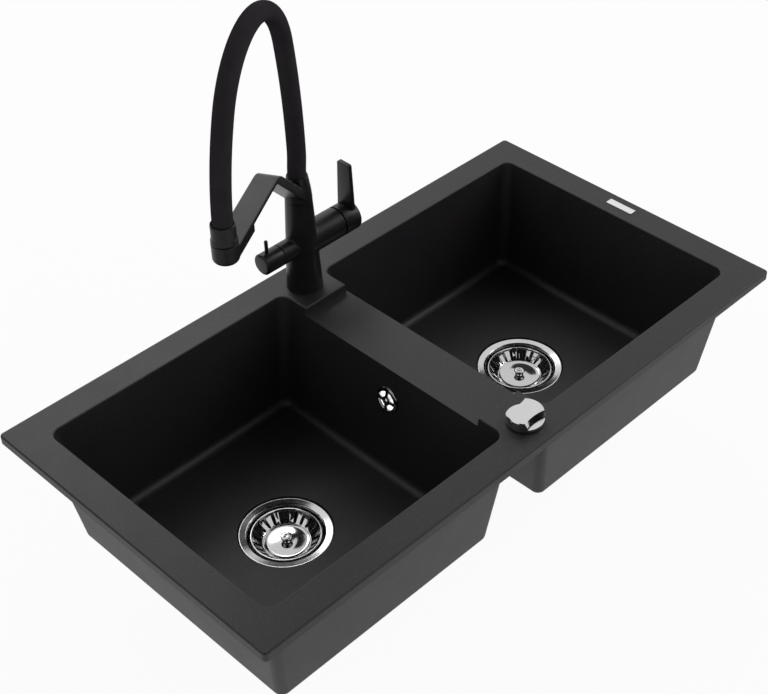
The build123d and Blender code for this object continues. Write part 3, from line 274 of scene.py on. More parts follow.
# ---------------------------------------------------------------- finishes
@dataclass(frozen=True)
class Composite:
    """Cast stone composite: a dark matt body with fine pale and dark grains."""

    body: Colour = (0.0175, 0.0145, 0.0175)
    pale: Colour = (0.050, 0.045, 0.050)
    dark: Colour = (0.0105, 0.0085, 0.0105)
    roughness: float = 0.50
    gloss: float = 0.48
    cloud_size: float = 34 * MM
    skin_size: float = 1.6 * MM
    grain_size: float = 0.9 * MM
    fleck_size: float = 2.07 * MM
    grain_from: float = 0.80
    fleck_from: float = 0.90
    grain_strength: float = 0.75
    relief: float = 0.07 * MM

    def material(self, name: str) -> bpy.types.Material:
        """Builds the finish.

        Args:
            name: Name of the material.

        Returns:
            The material.
        """
        desk = Desk(bpy.data.materials.new(name))
        where = desk.place()
        cloud = desk.noise(where, self.cloud_size, 3)
        skin = desk.noise(where, self.skin_size, 2, 0.7)
        grain, chance = desk.cells(where, self.grain_size)
        grains = chance.above(self.grain_from) * grain.spread(0.50, 0.22)
        fleck, chance = desk.cells(where, self.fleck_size)
        flecks = chance.above(self.fleck_from) * fleck.spread(0.42, 0.18)
        base = desk.blend(cloud * 0.5 + skin * 0.5, self.dark, self.body)
        colour = desk.blend((grains * self.grain_strength).larger(flecks), base, self.pale)
        rough = skin * 0.16 + cloud * 0.08 + (self.roughness - 0.12)
        normal = desk.bump(skin * 0.6 + grain * 0.4, self.relief, 0.5)
        return desk.surface(Base_Color=colour, Roughness=rough, Specular_IOR_Level=self.gloss,
                            Normal=normal)


@dataclass(frozen=True)
class Coat:
    """Matt black coating on metal, with a fine peel."""

    body: Colour = (0.0105, 0.0090, 0.0105)
    lift: Colour = (0.0150, 0.0130, 0.0150)
    roughness: float = 0.36
    gloss: float = 0.24
    peel_size: float = 0.7 * MM
    wear_size: float = 18 * MM
    relief: float = 0.02 * MM

    def material(self, name: str) -> bpy.types.Material:
        """Builds the finish.

        Args:
            name: Name of the material.

        Returns:
            The material.
        """
        desk = Desk(bpy.data.materials.new(name))
        where = desk.place()
        peel = desk.noise(where, self.peel_size, 2)
        wear = desk.noise(where, self.wear_size, 3)
        colour = desk.blend(wear.spread(0.35, 0.7), self.body, self.lift)
        rough = peel * 0.06 + wear * 0.10 + (self.roughness - 0.08)
        return desk.surface(Base_Color=colour, Roughness=rough, Specular_IOR_Level=self.gloss,
                            Normal=desk.bump(peel, self.relief, 0.4))


@dataclass(frozen=True)
class Silicone:
    """Satin silicone or rubber, with a faint bloom."""

    body: Colour = (0.0370, 0.0330, 0.0370)
    bloom: Colour = (0.0450, 0.0405, 0.0450)
    roughness: float = 0.85
    gloss: float = 0.0
    cloud_size: float = 26 * MM
    skin_size: float = 0.5 * MM
    relief: float = 0.02 * MM

    def material(self, name: str) -> bpy.types.Material:
        """Builds the finish.

        Args:
            name: Name of the material.

        Returns:
            The material.
        """
        desk = Desk(bpy.data.materials.new(name))
        where = desk.place()
        cloud = desk.noise(where, self.cloud_size, 4, 0.6)
        skin = desk.noise(where, self.skin_size, 1)
        colour = desk.blend(cloud.spread(0.4, 0.75), self.body, self.bloom)
        rough = cloud * 0.12 + skin * 0.05 + (self.roughness - 0.08)
        return desk.surface(Base_Color=colour, Roughness=rough, Specular_IOR_Level=self.gloss,
                            Normal=desk.bump(skin, self.relief, 0.4))


class Lay(Enum):
    """How a metal's fine lines run."""

    ROUND = "round"
    ALONG_Y = "y"
    CLOUDED = "clouded"


@dataclass(frozen=True)
class Metal:
    """Bare metal with fine lines that run round the vertical or along y, or with a fine cloud."""

    colour: Colour = (0.66, 0.65, 0.66)
    shade: Colour = (0.56, 0.55, 0.56)
    roughness: float = 0.10
    lay: Lay = Lay.ROUND
    centre: tuple[float, float, float] = (0.0, 0.0, 0.0)
    line_size: float = 0.25 * MM
    line_stretch: float = 0.02
    smear_size: float = 9 * MM
    relief: float = 0.012 * MM

    def material(self, name: str) -> bpy.types.Material:
        """Builds the finish.

        Args:
            name: Name of the material.

        Returns:
            The material.
        """
        desk = Desk(bpy.data.materials.new(name))
        where = desk.place(self.centre)
        lines = self._lines(desk, where)
        smear = desk.noise(where, self.smear_size, 2)
        colour = desk.blend(lines * 0.6 + smear * 0.4, self.shade, self.colour)
        rough = lines * 0.06 + smear * 0.05 + (self.roughness - 0.05)
        return desk.surface(Base_Color=colour, Metallic=1.0, Roughness=rough,
                            Normal=desk.bump(lines, self.relief, 0.6))

    def _lines(self, desk: Desk, where: bpy.types.NodeSocket) -> Signal:
        """Draws the fine lines.

        Args:
            desk: The material's node tree.
            where: Object coordinates counted from the metal's centre.

        Returns:
            The lines from 0 to 1.
        """
        if self.lay is Lay.CLOUDED:
            return desk.noise(where, 6 * self.line_size, 3, 0.6)
        if self.lay is Lay.ALONG_Y:
            along = desk.place(self.centre, scale=(1, self.line_stretch, 1))
            return desk.noise(along, self.line_size, 3, 0.7)
        x, y, z = desk.split(where)
        radius = (x * x + y * y) ** 0.5
        rings = desk.add("CombineXYZ", {}, {0: radius, 1: z})
        return desk.noise(rings.outputs[0], self.line_size, 3, 0.7)


@dataclass(frozen=True)
class Plastic:
    """Moulded plastic with a faint texture, and painted light of its own (an emission glow) where
    asked.
    """

    body: Colour = (0.62, 0.62, 0.60)
    shade: Colour = (0.52, 0.52, 0.50)
    roughness: float = 0.42
    # glow: emission strength; above zero the plastic glows with painted light, though it is no lamp
    glow: float = 0.0
    flow_size: float = 30 * MM
    grain_size: float = 0.6 * MM
    relief: float = 0.03 * MM

    def material(self, name: str) -> bpy.types.Material:
        """Builds the finish.

        Args:
            name: Name of the material.

        Returns:
            The material.
        """
        desk = Desk(bpy.data.materials.new(name))
        where = desk.place()
        flow = desk.noise(where, self.flow_size, 3)
        grain = desk.noise(where, self.grain_size, 2)
        colour = desk.blend(flow, self.shade, self.body)
        rough = flow * 0.10 + grain * 0.08 + (self.roughness - 0.09)
        # the emission paints light into the surface wherever glow is above zero
        return desk.surface(Base_Color=colour, Roughness=rough, Emission_Color=colour,
                            Emission_Strength=self.glow,
                            Normal=desk.bump(grain, self.relief, 0.5))


# ---------------------------------------------------------------- studio
@dataclass(frozen=True)
class Camera:
    """The photograph's camera, found from the rim's corners and edges."""

    eye: tuple[float, float, float] = (-0.95095, -0.96716, 1.14859)
    azimuth: float = 46.17
    elevation: float = 39.98
    roll: float = -0.147
    focal_px: float = 1532.14
    width_px: float = 768.0
    centre_px: float = 441.66
    sensor: float = 36.0
    clip: tuple[float, float] = (0.05, 50.0)

    def build(self) -> None:
        """Makes the camera and gives it to the scene."""
        turn, tip, roll = radians(self.azimuth), radians(self.elevation), radians(self.roll)
        ahead = Vector((sin(turn) * cos(tip), cos(turn) * cos(tip), -sin(tip)))
        right = Vector((cos(turn), -sin(turn), 0.0))
        up = right.cross(ahead)
        right, up = right * cos(roll) + up * sin(roll), up * cos(roll) - right * sin(roll)
        data = bpy.data.cameras.new("photo_camera")
        data.lens = self.focal_px / self.width_px * self.sensor
        data.sensor_width = self.sensor
        data.shift_x = 0.5 - self.centre_px / self.width_px
        data.clip_start, data.clip_end = self.clip
        camera = bpy.data.objects.new("photo_camera", data)
        bpy.context.scene.collection.objects.link(camera)
        columns = Matrix((right, up, -ahead)).transposed().to_4x4()
        camera.matrix_world = Matrix.Translation(self.eye) @ columns
        bpy.context.scene.camera = camera


@dataclass(frozen=True)
class Softbox:
    """One rectangular studio lamp that looks at a point."""

    name: str
    place: tuple[float, float, float]
    size: tuple[float, float]
    watts: float
    target: tuple[float, float, float] = (0.0, 0.0, 0.0)

    def build(self) -> None:
        """Adds the lamp to the scene."""
        data = bpy.data.lights.new(self.name, "AREA")
        data.shape = "RECTANGLE"
        data.size, data.size_y = self.size
        data.energy = self.watts
        lamp = bpy.data.objects.new(self.name, data)
        bpy.context.scene.collection.objects.link(lamp)
        towards = Vector(self.target) - Vector(self.place)
        lamp.rotation_mode = "QUATERNION"
        lamp.location = self.place
        lamp.rotation_quaternion = towards.to_track_quat("-Z", "Y")


@dataclass(frozen=True)
class Studio:
    """Plain white floor and surroundings, with soft lamps and black cards round the sink."""

    floor_size: float = 14.0
    floor_gap: float = 0.5 * MM
    floor_grey: float = 0.86
    shadow_share: float = 0.05
    ambient: float = 0.70
    flags: tuple[tuple[Point, float], ...] = (
        ((0.0, 0.0, 2.6), 1.5), ((-1.75, -1.75, 2.0), 1.6), ((1.29, -1.65, 0.45), 0.70),
        ((0.50, -0.90, 0.14), 0.40), ((-1.48, 1.48, 0.55), 0.80))
    flag_grey: float = 0.02
    softboxes: tuple[Softbox, ...] = (
        Softbox("right_softbox", (1.9, -0.9, 1.2), (0.7, 1.3), 12.0),
        Softbox("back_softbox", (0.6, 1.9, 1.5), (1.4, 0.8), 10.0),
    )

    def build(self) -> None:
        """Makes the world, the floor, the cards and the lamps."""
        scene = bpy.context.scene
        scene.view_settings.view_transform = "Standard"
        scene.world = self._world()
        self._floor()
        for number, (place, radius) in enumerate(self.flags):
            self._flag(f"flag_{number}", place, radius)
        for softbox in self.softboxes:
            softbox.build()

    def _world(self) -> bpy.types.World:
        """Makes surroundings that are white, and a little dimmer as a light on matt surfaces.

        Returns:
            The world.
        """
        desk = Desk(bpy.data.worlds.new("studio"))
        diffuse = Signal(desk, desk.add("LightPath").outputs["Is Diffuse Ray"])
        level = diffuse.spread(0.0, 1.0, 1.0, self.ambient)
        sky = desk.add("Background", {}, {0: (1.0, 1.0, 1.0, 1.0), 1: level})
        desk.add("OutputWorld", {}, {0: sky.outputs[0]})
        return desk.owner

    def _floor(self) -> None:
        """Makes a floor just under the part, white with a soft shadow, and clear from below."""
        floor = begin(bpy.ops.mesh.primitive_plane_add, "floor", size=self.floor_size)
        floor.data.transform(Matrix.Translation((0, 0, CAD_LOW.z - self.floor_gap)))
        desk = Desk(bpy.data.materials.new("floor_white"))
        path = desk.add("LightPath")
        camera = Signal(desk, path.outputs["Is Camera Ray"])
        glossy = Signal(desk, path.outputs["Is Glossy Ray"])
        matt = desk.add("BsdfDiffuse", {}, {0: (*[self.floor_grey] * 3, 1.0)})
        glow = desk.add("Emission", {}, {0: (1.0, 1.0, 1.0, 1.0), 1: 1.0})
        share = camera.larger(glossy) * (1 - self.shadow_share)
        mixed = desk.add("MixShader", {}, {0: share, 1: matt.outputs[0], 2: glow.outputs[0]})
        under = desk.add("NewGeometry").outputs["Backfacing"]
        clear = desk.add("BsdfTransparent")
        sides = desk.add("MixShader", {}, {0: under, 1: mixed.outputs[0], 2: clear.outputs[0]})
        desk.add("OutputMaterial", {}, {0: sides.outputs[0]})
        floor.data.materials.append(desk.owner)

    def _flag(self, name: str, place: Point, radius: float) -> None:
        """Makes a black card that faces the sink, which only reflections and light meet.

        Args:
            name: Name of the card.
            place: Its middle in metres.
            radius: Its radius in metres.
        """
        flag = begin(bpy.ops.mesh.primitive_circle_add, name, vertices=64, radius=radius,
                     fill_type="NGON")
        facing = Vector(place).to_track_quat("Z", "Y").to_matrix().to_4x4()
        flag.data.transform(Matrix.Translation(place) @ facing)
        flag.visible_camera = False
        desk = Desk(bpy.data.materials.new(name + "_black"))
        matt = desk.add("BsdfDiffuse", {}, {0: (*[self.flag_grey] * 3, 1.0)})
        desk.add("OutputMaterial", {}, {0: matt.outputs[0]})
        flag.data.materials.append(desk.owner)


# ---------------------------------------------------------------- modelling steps
class Cut(Enum):
    """What a boolean leaves of the object that it cuts."""

    OUTSIDE = "DIFFERENCE"
    INSIDE = "INTERSECT"


def begin(add: Callable[..., Any], name: str, **options: Any) -> bpy.types.Object:
    """Adds a primitive on its own.

    Args:
        add: The operator that adds it.
        name: Name of the new object.
        options: The operator's options.

    Returns:
        The new object, with its place, turn and size in its mesh.
    """
    bpy.ops.object.select_all(action="DESELECT")
    add(**options)
    made = bpy.context.object
    made.name = made.data.name = name
    bpy.ops.object.transform_apply(location=True, rotation=True, scale=True)
    return made


def activate(target: bpy.types.Object) -> None:
    """Makes an object the only selected and the active one.

    Args:
        target: The object.
    """
    bpy.ops.object.select_all(action="DESELECT")
    target.select_set(True)
    bpy.context.view_layer.objects.active = target


def modify(target: bpy.types.Object, kind: str, **settings: Any) -> None:
    """Adds a modifier, sets it and applies it.

    Args:
        target: The object.
        kind: The modifier's type.
        settings: Its settings.
    """
    activate(target)
    bpy.ops.object.modifier_add(type=kind)
    added = target.modifiers[-1]
    for key, value in settings.items():
        setattr(added, key, value)
    bpy.ops.object.modifier_apply(modifier=added.name)


def soften(target: bpy.types.Object, width: float, segments: int = 2, angle: float = 40.0) -> None:
    """Rounds the edges that are sharper than an angle.

    Args:
        target: The object.
        width: Width of the rounding in mm.
        segments: Faces across it.
        angle: Smallest angle that is rounded, in degrees.
    """
    modify(target, "BEVEL", width=width * MM, segments=segments, limit_method="ANGLE",
           angle_limit=radians(angle), use_clamp_overlap=True)


def heal(target: bpy.types.Object) -> None:
    """Merges the doubles of an object and turns its faces outwards.

    Args:
        target: The object.
    """
    activate(target)
    bpy.ops.object.mode_set(mode="EDIT")
    bpy.ops.mesh.select_all(action="SELECT")
    bpy.ops.mesh.remove_doubles(threshold=WELD)
    bpy.ops.mesh.normals_make_consistent(inside=False)
    bpy.ops.object.mode_set(mode="OBJECT")


def choose(target: bpy.types.Object, test: Callable[[Vector, Vector], bool]) -> None:
    """Selects only the edges that pass a test, in edit mode.

    Args:
        target: The object.
        test: Tells from an edge's two ends whether it is chosen.
    """
    bpy.ops.mesh.select_all(action="DESELECT")
    mesh = bmesh.from_edit_mesh(target.data)
    for edge in mesh.edges:
        if test(*(vertex.co for vertex in edge.verts)):
            edge.select = True
    bmesh.update_edit_mesh(target.data)


def join(parts: Sequence[bpy.types.Object]) -> bpy.types.Object:
    """Joins objects into the first one.

    Args:
        parts: The objects.

    Returns:
        The first one, with all the others in it.
    """
    activate(parts[0])
    for part in parts[1:]:
        part.select_set(True)
    if len(parts) > 1:
        bpy.ops.object.join()
    return bpy.context.object


def carve(target: bpy.types.Object, cutters: Sequence[bpy.types.Object],
          keep: Cut = Cut.OUTSIDE) -> None:
    """Cuts an object with others, which are then gone.

    Args:
        target: The object that stays.
        cutters: The objects that cut it.
        keep: Which of its parts stay.
    """
    tool = join(cutters)
    modify(target, "BOOLEAN", object=tool, operation=keep.value, solver="EXACT")
    bpy.data.objects.remove(tool, do_unlink=True)


def lathe(name: str, profile: Iterable[tuple[float, float]], place: Point, axis: Point = (0, 0, 1),
          side: Point = (1, 0, 0), steps: int = 96) -> bpy.types.Object:
    """Turns a profile round an axis.

    Args:
        name: Name of the new object.
        profile: Radius and height pairs in mm, counted from the place.
        place: A point of the axis in mm.
        axis: Direction of the axis.
        side: Direction in which the profile is drawn.
        steps: Faces round the axis.

    Returns:
        The turned object.
    """
    centre, along, out = Vector(place) * MM, Vector(axis), Vector(side)
    points = [centre + out * radius * MM + along * height * MM for radius, height in profile]
    turned = begin(bpy.ops.mesh.primitive_plane_add, name, size=MM)
    bpy.ops.object.mode_set(mode="EDIT")
    bpy.ops.mesh.select_all(action="SELECT")
    bpy.ops.mesh.merge(type="CENTER")
    bpy.ops.transform.translate(value=points[0])
    for before, after in zip(points, points[1:]):
        bpy.ops.mesh.extrude_region_move(TRANSFORM_OT_translate={"value": after - before})
    bpy.ops.mesh.select_all(action="SELECT")
    bpy.ops.mesh.spin(steps=steps, angle=2 * pi, center=centre, axis=along)
    bpy.ops.object.mode_set(mode="OBJECT")
    heal(turned)
    return turned


def block(name: str, size: Point, place: Point = (0, 0, 0)) -> bpy.types.Object:
    """Makes a box.

    Args:
        name: Name of the new object.
        size: Its three lengths in mm.
        place: Its middle in mm.

    Returns:
        The box.
    """
    return begin(bpy.ops.mesh.primitive_cube_add, name, size=1.0, scale=Vector(size) * MM,
                 location=Vector(place) * MM)


def rod(name: str, radius: float, length: float, place: Point, turn: float = 0.0,
        sides: int = 48) -> bpy.types.Object:
    """Makes an upright cylinder.

    Args:
        name: Name of the new object.
        radius: Its radius in mm.
        length: Its length in mm.
        place: Its middle in mm.
        turn: Its turn about its axis in degrees.
        sides: Faces round it.

    Returns:
        The cylinder.
    """
    return begin(bpy.ops.mesh.primitive_cylinder_add, name, radius=radius * MM, depth=length * MM,
                 vertices=sides, location=Vector(place) * MM, rotation=(0, 0, radians(turn)))


def install(piece: bpy.types.Object, body: str, material: bpy.types.Material,
            replaces: Sequence[str] = (), smooth: float = 35.0) -> None:
    """Finishes a piece and hands it to its body.

    Args:
        piece: The finished object.
        body: The body that carries it.
        material: Its material.
        replaces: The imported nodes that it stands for.
        smooth: Largest angle that is shaded smoothly, in degrees.
    """
    heal(piece)
    bpy.ops.object.shade_smooth_by_angle(angle=radians(smooth))
    piece.data.materials.clear()
    piece.data.materials.append(material)
    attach(piece, body)
    if replaces:
        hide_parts(*replaces)


# ---------------------------------------------------------------- sub-assemblies
@dataclass(frozen=True)
class Thread:
    """An outside thread, drawn as rings round a core. Its measures are in mm.

    The core reaches from top to end. The rings begin at first, and none begins below last.
    """

    root: float
    crest: float
    pitch: float
    flank: float
    flat: float
    top: float
    first: float
    last: float
    end: float

    def profile(self) -> list[tuple[float, float]]:
        """Draws the thread's half section.

        Returns:
            Its closed outline, as radius and height pairs.
        """
        points = [(self.root, self.top)]
        level = self.first
        while level > self.last:
            upper = level - self.flank
            lower = upper - self.flat
            points += [(self.root, level), (self.crest, upper), (self.crest, lower),
                       (self.root, lower - self.flank)]
            level -= self.pitch
        return points + [(self.root, self.end), (self.root, self.top)]


@dataclass(frozen=True)
class Nut:
    """A hexagon nut with turned corners. Its measures are in mm."""

    name: str
    flats: float
    thick: float
    bore: float
    place: tuple[float, float, float]
    turned: float = 1.6

    def build(self) -> bpy.types.Object:
        """Makes the nut.

        Returns:
            The nut.
        """
        corner, inner, half = self.flats / sqrt(3), self.flats / 2, self.thick / 2
        nut = rod(self.name, corner, self.thick, self.place, 30.0, 6)
        rim = ((0.0, -half), (inner, -half), (corner, self.turned - half),
               (corner, half - self.turned), (inner, half), (0.0, half))
        carve(nut, [lathe("turned", rim, self.place, steps=72)], Cut.INSIDE)
        carve(nut, [rod("bore", self.bore, self.thick * 2, self.place, sides=72)])
        soften(nut, 0.3)
        return nut


@dataclass
class Waste:
    """One basket waste: flange with its cup, basket, pull and threaded tail.

    Its measures are in mm, and its heights are counted from its top.
    """

    name: str
    x: float
    top: float = -142.5
    steps: int = 128
    flange: Profile = (
        (4.6, -24.0), (33.5, -24.0), (34.2, -19.0), (43.3, -10.0), (44.3, -3.0), (45.3, -0.6),
        (46.8, 0.0), (52.9, 0.0), (53.5, 0.25), (54.4, 0.1), (55.0, -0.7), (55.0, -1.6),
        (46.6, -1.6), (45.6, -3.2), (44.6, -10.6), (35.5, -19.7), (34.7, -25.3), (4.6, -25.3),
        (4.6, -24.0))
    holes: int = 8
    hole_radius: float = 4.5
    hole_length: float = 6.0
    hole_ring: float = 21.2
    hole_level: float = -24.6
    basket: Profile = (
        (0.0, -16.2), (28.6, -16.2), (40.6, -5.8), (41.5, -4.6), (41.5, -3.1), (40.9, -2.5),
        (39.8, -2.5), (39.2, -3.2), (39.0, -5.6), (28.4, -14.9), (27.6, -15.2), (27.0, -15.1),
        (26.7, -14.4), (26.2, -14.2), (25.6, -14.4), (22.0, -14.6), (15.0, -14.0), (8.0, -13.8),
        (0.0, -13.8))
    slots: int = 24
    slot_size: tuple[float, float, float] = (14.0, 3.4, 9.0)
    slot_round: float = 1.5
    slot_ring: float = 34.2
    slot_level: float = -10.5
    wall_run: float = 12.7
    wall_rise: float = 10.6
    pull: Profile = (
        (0.0, -13.8), (5.4, -13.8), (5.1, -13.2), (3.8, -12.2), (3.1, -10.8), (3.6, -9.4),
        (6.0, -8.5), (7.0, -7.7), (7.0, -6.9), (6.0, -6.1), (3.0, -5.9), (2.2, -6.4), (0.0, -6.5))
    thread: Thread = Thread(root=22.9, crest=24.15, pitch=2.2, flank=0.7, flat=0.3,
                            top=-48.5, first=-49.5, last=-68.5, end=-69.0)
    flange_steel: Metal = Metal((0.64, 0.63, 0.64), (0.52, 0.51, 0.52), 0.12)
    basket_steel: Metal = Metal((0.58, 0.57, 0.58), (0.48, 0.47, 0.48), 0.06, relief=0.003 * MM)

    def build(self) -> None:
        """Makes the waste's pieces."""
        place = (self.x, 0.0, self.top)
        middle = tuple(Vector(place) * MM)
        ring = lathe(f"flange_{self.name}", self.flange, place, steps=self.steps)
        carve(ring, [self._hole(number) for number in range(self.holes)])
        soften(ring, 0.3)
        steel = replace(self.flange_steel, centre=middle)
        install(ring, "sink", steel.material(f"flange_steel_{self.name}"),
                [f"waste_flange_{self.name}"])
        body = f"strainer_{self.name}"
        steel = replace(self.basket_steel, centre=middle)
        basket = lathe(body, self.basket, place, steps=self.steps)
        carve(basket, [self._slot(number) for number in range(self.slots)])
        soften(basket, 0.25)
        install(basket, body, steel.material(f"basket_steel_{self.name}"),
                [f"basket_{self.name}"])
        knob = lathe(f"pull_{self.name}", self.pull, place, steps=64)
        soften(knob, 0.5, 3, 20)
        install(knob, body, steel.material(f"pull_steel_{self.name}"),
                [f"basket_pull_{self.name}"])
        thread = lathe(f"tail_thread_{self.name}", self.thread.profile(), place, steps=72)
        install(thread, "sink", Plastic().material(f"thread_plastic_{self.name}"))

    def _hole(self, number: int) -> bpy.types.Object:
        """Makes the cutter for one hole of the cup's floor.

        Args:
            number: Which hole, counted round the axis.

        Returns:
            The cutter.
        """
        angle = 2 * pi * number / self.holes
        place = (self.x + self.hole_ring * cos(angle), self.hole_ring * sin(angle),
                 self.top + self.hole_level)
        return rod("hole", self.hole_radius, self.hole_length, place)

    def _slot(self, number: int) -> bpy.types.Object:
        """Makes the cutter for one slot of the basket's wall, with round ends.

        Args:
            number: Which slot, counted round the axis.

        Returns:
            The cutter.
        """
        angle = 2 * pi * number / self.slots
        slope = atan2(self.wall_rise, self.wall_run)
        cutter = block("slot", self.slot_size)
        modify(cutter, "BEVEL", width=self.slot_round * MM, segments=3, limit_method="ANGLE")
        turned = Matrix.Rotation(angle, 4, "Z") @ Matrix.Rotation(-slope, 4, "Y")
        place = Vector((self.x + self.slot_ring * cos(angle), self.slot_ring * sin(angle),
                        self.top + self.slot_level)) * MM
        cutter.data.transform(Matrix.Translation(place) @ turned)
        return cutter


@dataclass
class Overflow:
    """The overflow's rosette: a ring with four windows, and the white passage behind it, which glows
    with painted light.

    Its measures are in mm, and its heights are counted from the bowl's leaning wall into the bowl.
    """

    place: tuple[float, float, float] = (-39.408, -5.0, -41.5)
    lean: float = 7.496
    dish: Profile = (
        (2.3, 1.6), (13.6, 1.2), (15.4, 0.1), (16.7, 0.1), (17.0, 0.4), (17.0, 1.0), (16.4, 1.6),
        (15.0, 2.4), (12.4, 2.8), (6.4, 3.1), (2.3, 3.2), (2.3, 1.6))
    window: Profile = ((6.0, 0.0), (12.4, 0.0), (12.4, 6.0), (6.0, 6.0), (6.0, 0.0))
    bar: tuple[float, float, float] = (20.0, 4.2, 40.0)
    lining: Profile = (
        (0.0, -9.0), (12.4, -9.0), (12.4, -0.2), (12.8, -0.2), (12.8, -9.4), (0.0, -9.4))
    chrome: Metal = Metal((0.26, 0.25, 0.26), (0.20, 0.19, 0.20), 0.14, Lay.CLOUDED)
    # painted light: the white passage glows (emission 0.8) behind the windows, though it is no lamp
    white: Plastic = Plastic(body=(0.86, 0.86, 0.84), shade=(0.80, 0.80, 0.78), glow=0.8)

    def build(self) -> None:
        """Makes the rosette and the passage, which glows with painted light."""
        lean = radians(self.lean)
        out, side = (-cos(lean), 0.0, sin(lean)), (0.0, 1.0, 0.0)
        rosette = lathe("rosette", self.dish, self.place, out, side)
        windows = lathe("windows", self.window, self.place, out, side)
        carve(windows, [self._bar(turn) for turn in (0.0, 90.0)])
        carve(rosette, [windows])
        soften(rosette, 0.35)
        install(rosette, "sink", self.chrome.material("rosette_metal"),
                ["overflow_rosette"])
        # the passage's material glows with painted light
        passage = lathe("overflow_passage", self.lining, self.place, out, side, 72)
        install(passage, "sink", self.white.material("passage_painted_glow"))

    def _bar(self, turn: float) -> bpy.types.Object:
        """Makes one bar across the windows.

        Args:
            turn: Its turn about the rosette's axis in degrees.

        Returns:
            The bar.
        """
        bar = block("bar", self.bar)
        spun = Matrix.Rotation(radians(self.lean), 4, "Y") @ Matrix.Rotation(radians(turn), 4, "X")
        bar.data.transform(Matrix.Translation(Vector(self.place) * MM) @ spun)
        return bar


@dataclass
class PlugKnob:
    """The remote knob: a low disc with two hollow flanks that leave a grip.

    Each flank is cut by a cone of the flank's radius and draft, down to the base. The waist is the
    grip's least width. The measures are in mm.
    """

    place: tuple[float, float, float] = (0.0, -180.0, 12.1)
    radius: float = 21.75
    height: float = 12.9
    foot_edge: float = 0.6
    top_edge: float = 0.8
    base: float = 4.2
    waist: float = 23.6
    flank: float = 58.0
    draft: float = 18.0
    overshoot: float = 6.0
    chrome: Metal = Metal(lay=Lay.CLOUDED, relief=0.002 * MM)

    def build(self) -> None:
        """Makes the knob."""
        x, y, z = self.place
        outline = ((0.0, 0.0), (self.radius - self.foot_edge, 0.0), (self.radius, self.foot_edge),
                   (self.radius, self.height - self.top_edge),
                   (self.radius - self.top_edge, self.height), (0.0, self.height))
        knob = lathe("knob", outline, self.place, steps=160)
        off = self.flank + self.waist / 2
        rise = self.height - self.base
        slope = tan(radians(self.draft))
        cone = ((0.0, 0.0), (self.flank - rise * slope, 0.0),
                (self.flank + self.overshoot * slope, rise + self.overshoot),
                (0.0, rise + self.overshoot))
        carve(knob, [lathe("flank", cone, (x, y + way * off, z + self.base), steps=256)
                     for way in (1, -1)])
        soften(knob, 0.45, 3, 38)
        install(knob, "remote_knob", self.chrome.material("knob_metal"),
                ["plug_knob"], 30)


@dataclass
class Lever:
    """The mixer's lever: a flush hub and a tapered blade with round corners, in mm."""

    y: float = 176.0
    z: float = 73.5
    start: float = 57.7
    length: float = 24.0
    radius: float = 19.2
    bore: float = 15.5
    bore_depth: float = 6.0
    grub_radius: float = 2.45
    grub_length: float = 20.0
    grub_x: float = 65.5
    grub_rise: float = 16.0
    blade_x: float = 74.0
    blade_thick: float = 5.0
    blade_foot: float = 76.0
    blade_top: float = 150.4
    foot_width: float = 26.5
    top_width: float = 19.8
    corner: float = 2.2

    def build(self) -> None:
        """Makes the lever."""
        outline = ((self.bore, 0.0), (self.radius - 0.5, 0.0), (self.radius, 0.5),
                   (self.radius, self.length - 2.0), (self.radius - 0.6, self.length - 0.6),
                   (self.radius - 2.0, self.length), (0.0, self.length), (0.0, self.bore_depth),
                   (self.bore, self.bore_depth), (self.bore, 0.0))
        hub = lathe("lever_hub", outline, (self.start, self.y, self.z), (1, 0, 0), (0, 0, 1))
        blade = self._blade()
        carve(hub, [rod("grub_hole", self.grub_radius, self.grub_length,
                        (self.grub_x, self.y, self.z + self.grub_rise))])
        lever = join([hub, blade])
        soften(lever, 0.6, 3)
        install(lever, "mixer_lever", Coat().material("lever_coat"), ["lever"], 30)

    def _blade(self) -> bpy.types.Object:
        """Makes the blade, narrower at its top, with two round corners.

        Returns:
            The blade.
        """
        middle = (self.blade_top + self.blade_foot) / 2
        blade = block("blade", (self.blade_thick, self.foot_width, self.blade_top - self.blade_foot),
                      (self.blade_x, self.y, middle))
        activate(blade)
        bpy.ops.object.mode_set(mode="EDIT")
        choose(blade, lambda one, two: min(one.z, two.z) > middle * MM)
        bpy.ops.transform.resize(value=(1.0, self.top_width / self.foot_width, 1.0))
        choose(blade, lambda one, two: min(one.z, two.z) > middle * MM
               and abs(one.y - two.y) < WELD)
        bpy.ops.mesh.bevel(offset=self.corner * MM, segments=5, affect="EDGES")
        bpy.ops.object.mode_set(mode="OBJECT")
        return blade


@dataclass
class FilterKnob:
    """The filtered water knob with its pin."""

    y: float = 176.0
    z: float = 73.0
    start: float = -36.5
    radius: float = 13.2
    length: float = 27.3
    bore: float = 10.0
    bore_depth: float = 5.0
    pin_x: float = -54.0
    pin: Profile = ((0.0, 8.0), (2.25, 8.0), (2.25, 29.0), (1.6, 30.2), (0.0, 30.3))
    coat: Coat = Coat(roughness=0.30)

    def build(self) -> None:
        """Makes the knob and its pin."""
        outline = ((self.bore, 0.0), (self.radius - 0.5, 0.0), (self.radius, 0.5),
                   (self.radius, self.length - 1.8), (self.radius - 0.5, self.length - 1.0),
                   (self.radius - 1.8, self.length - 0.1), (self.radius - 2.6, self.length),
                   (0.0, self.length), (0.0, self.bore_depth), (self.bore, self.bore_depth),
                   (self.bore, 0.0))
        knob = lathe("filter_grip", outline, (self.start, self.y, self.z), (-1, 0, 0), (0, 0, 1), 80)
        soften(knob, 0.3, angle=35)
        install(knob, "filter_tap", self.coat.material("filter_coat"),
                ["filter_knob"], 28)
        pin = lathe("filter_stick", self.pin, (self.pin_x, self.y, self.z), steps=32)
        soften(pin, 0.3, angle=35)
        install(pin, "filter_tap", self.coat.material("stick_coat"),
                ["filter_pin"], 28)


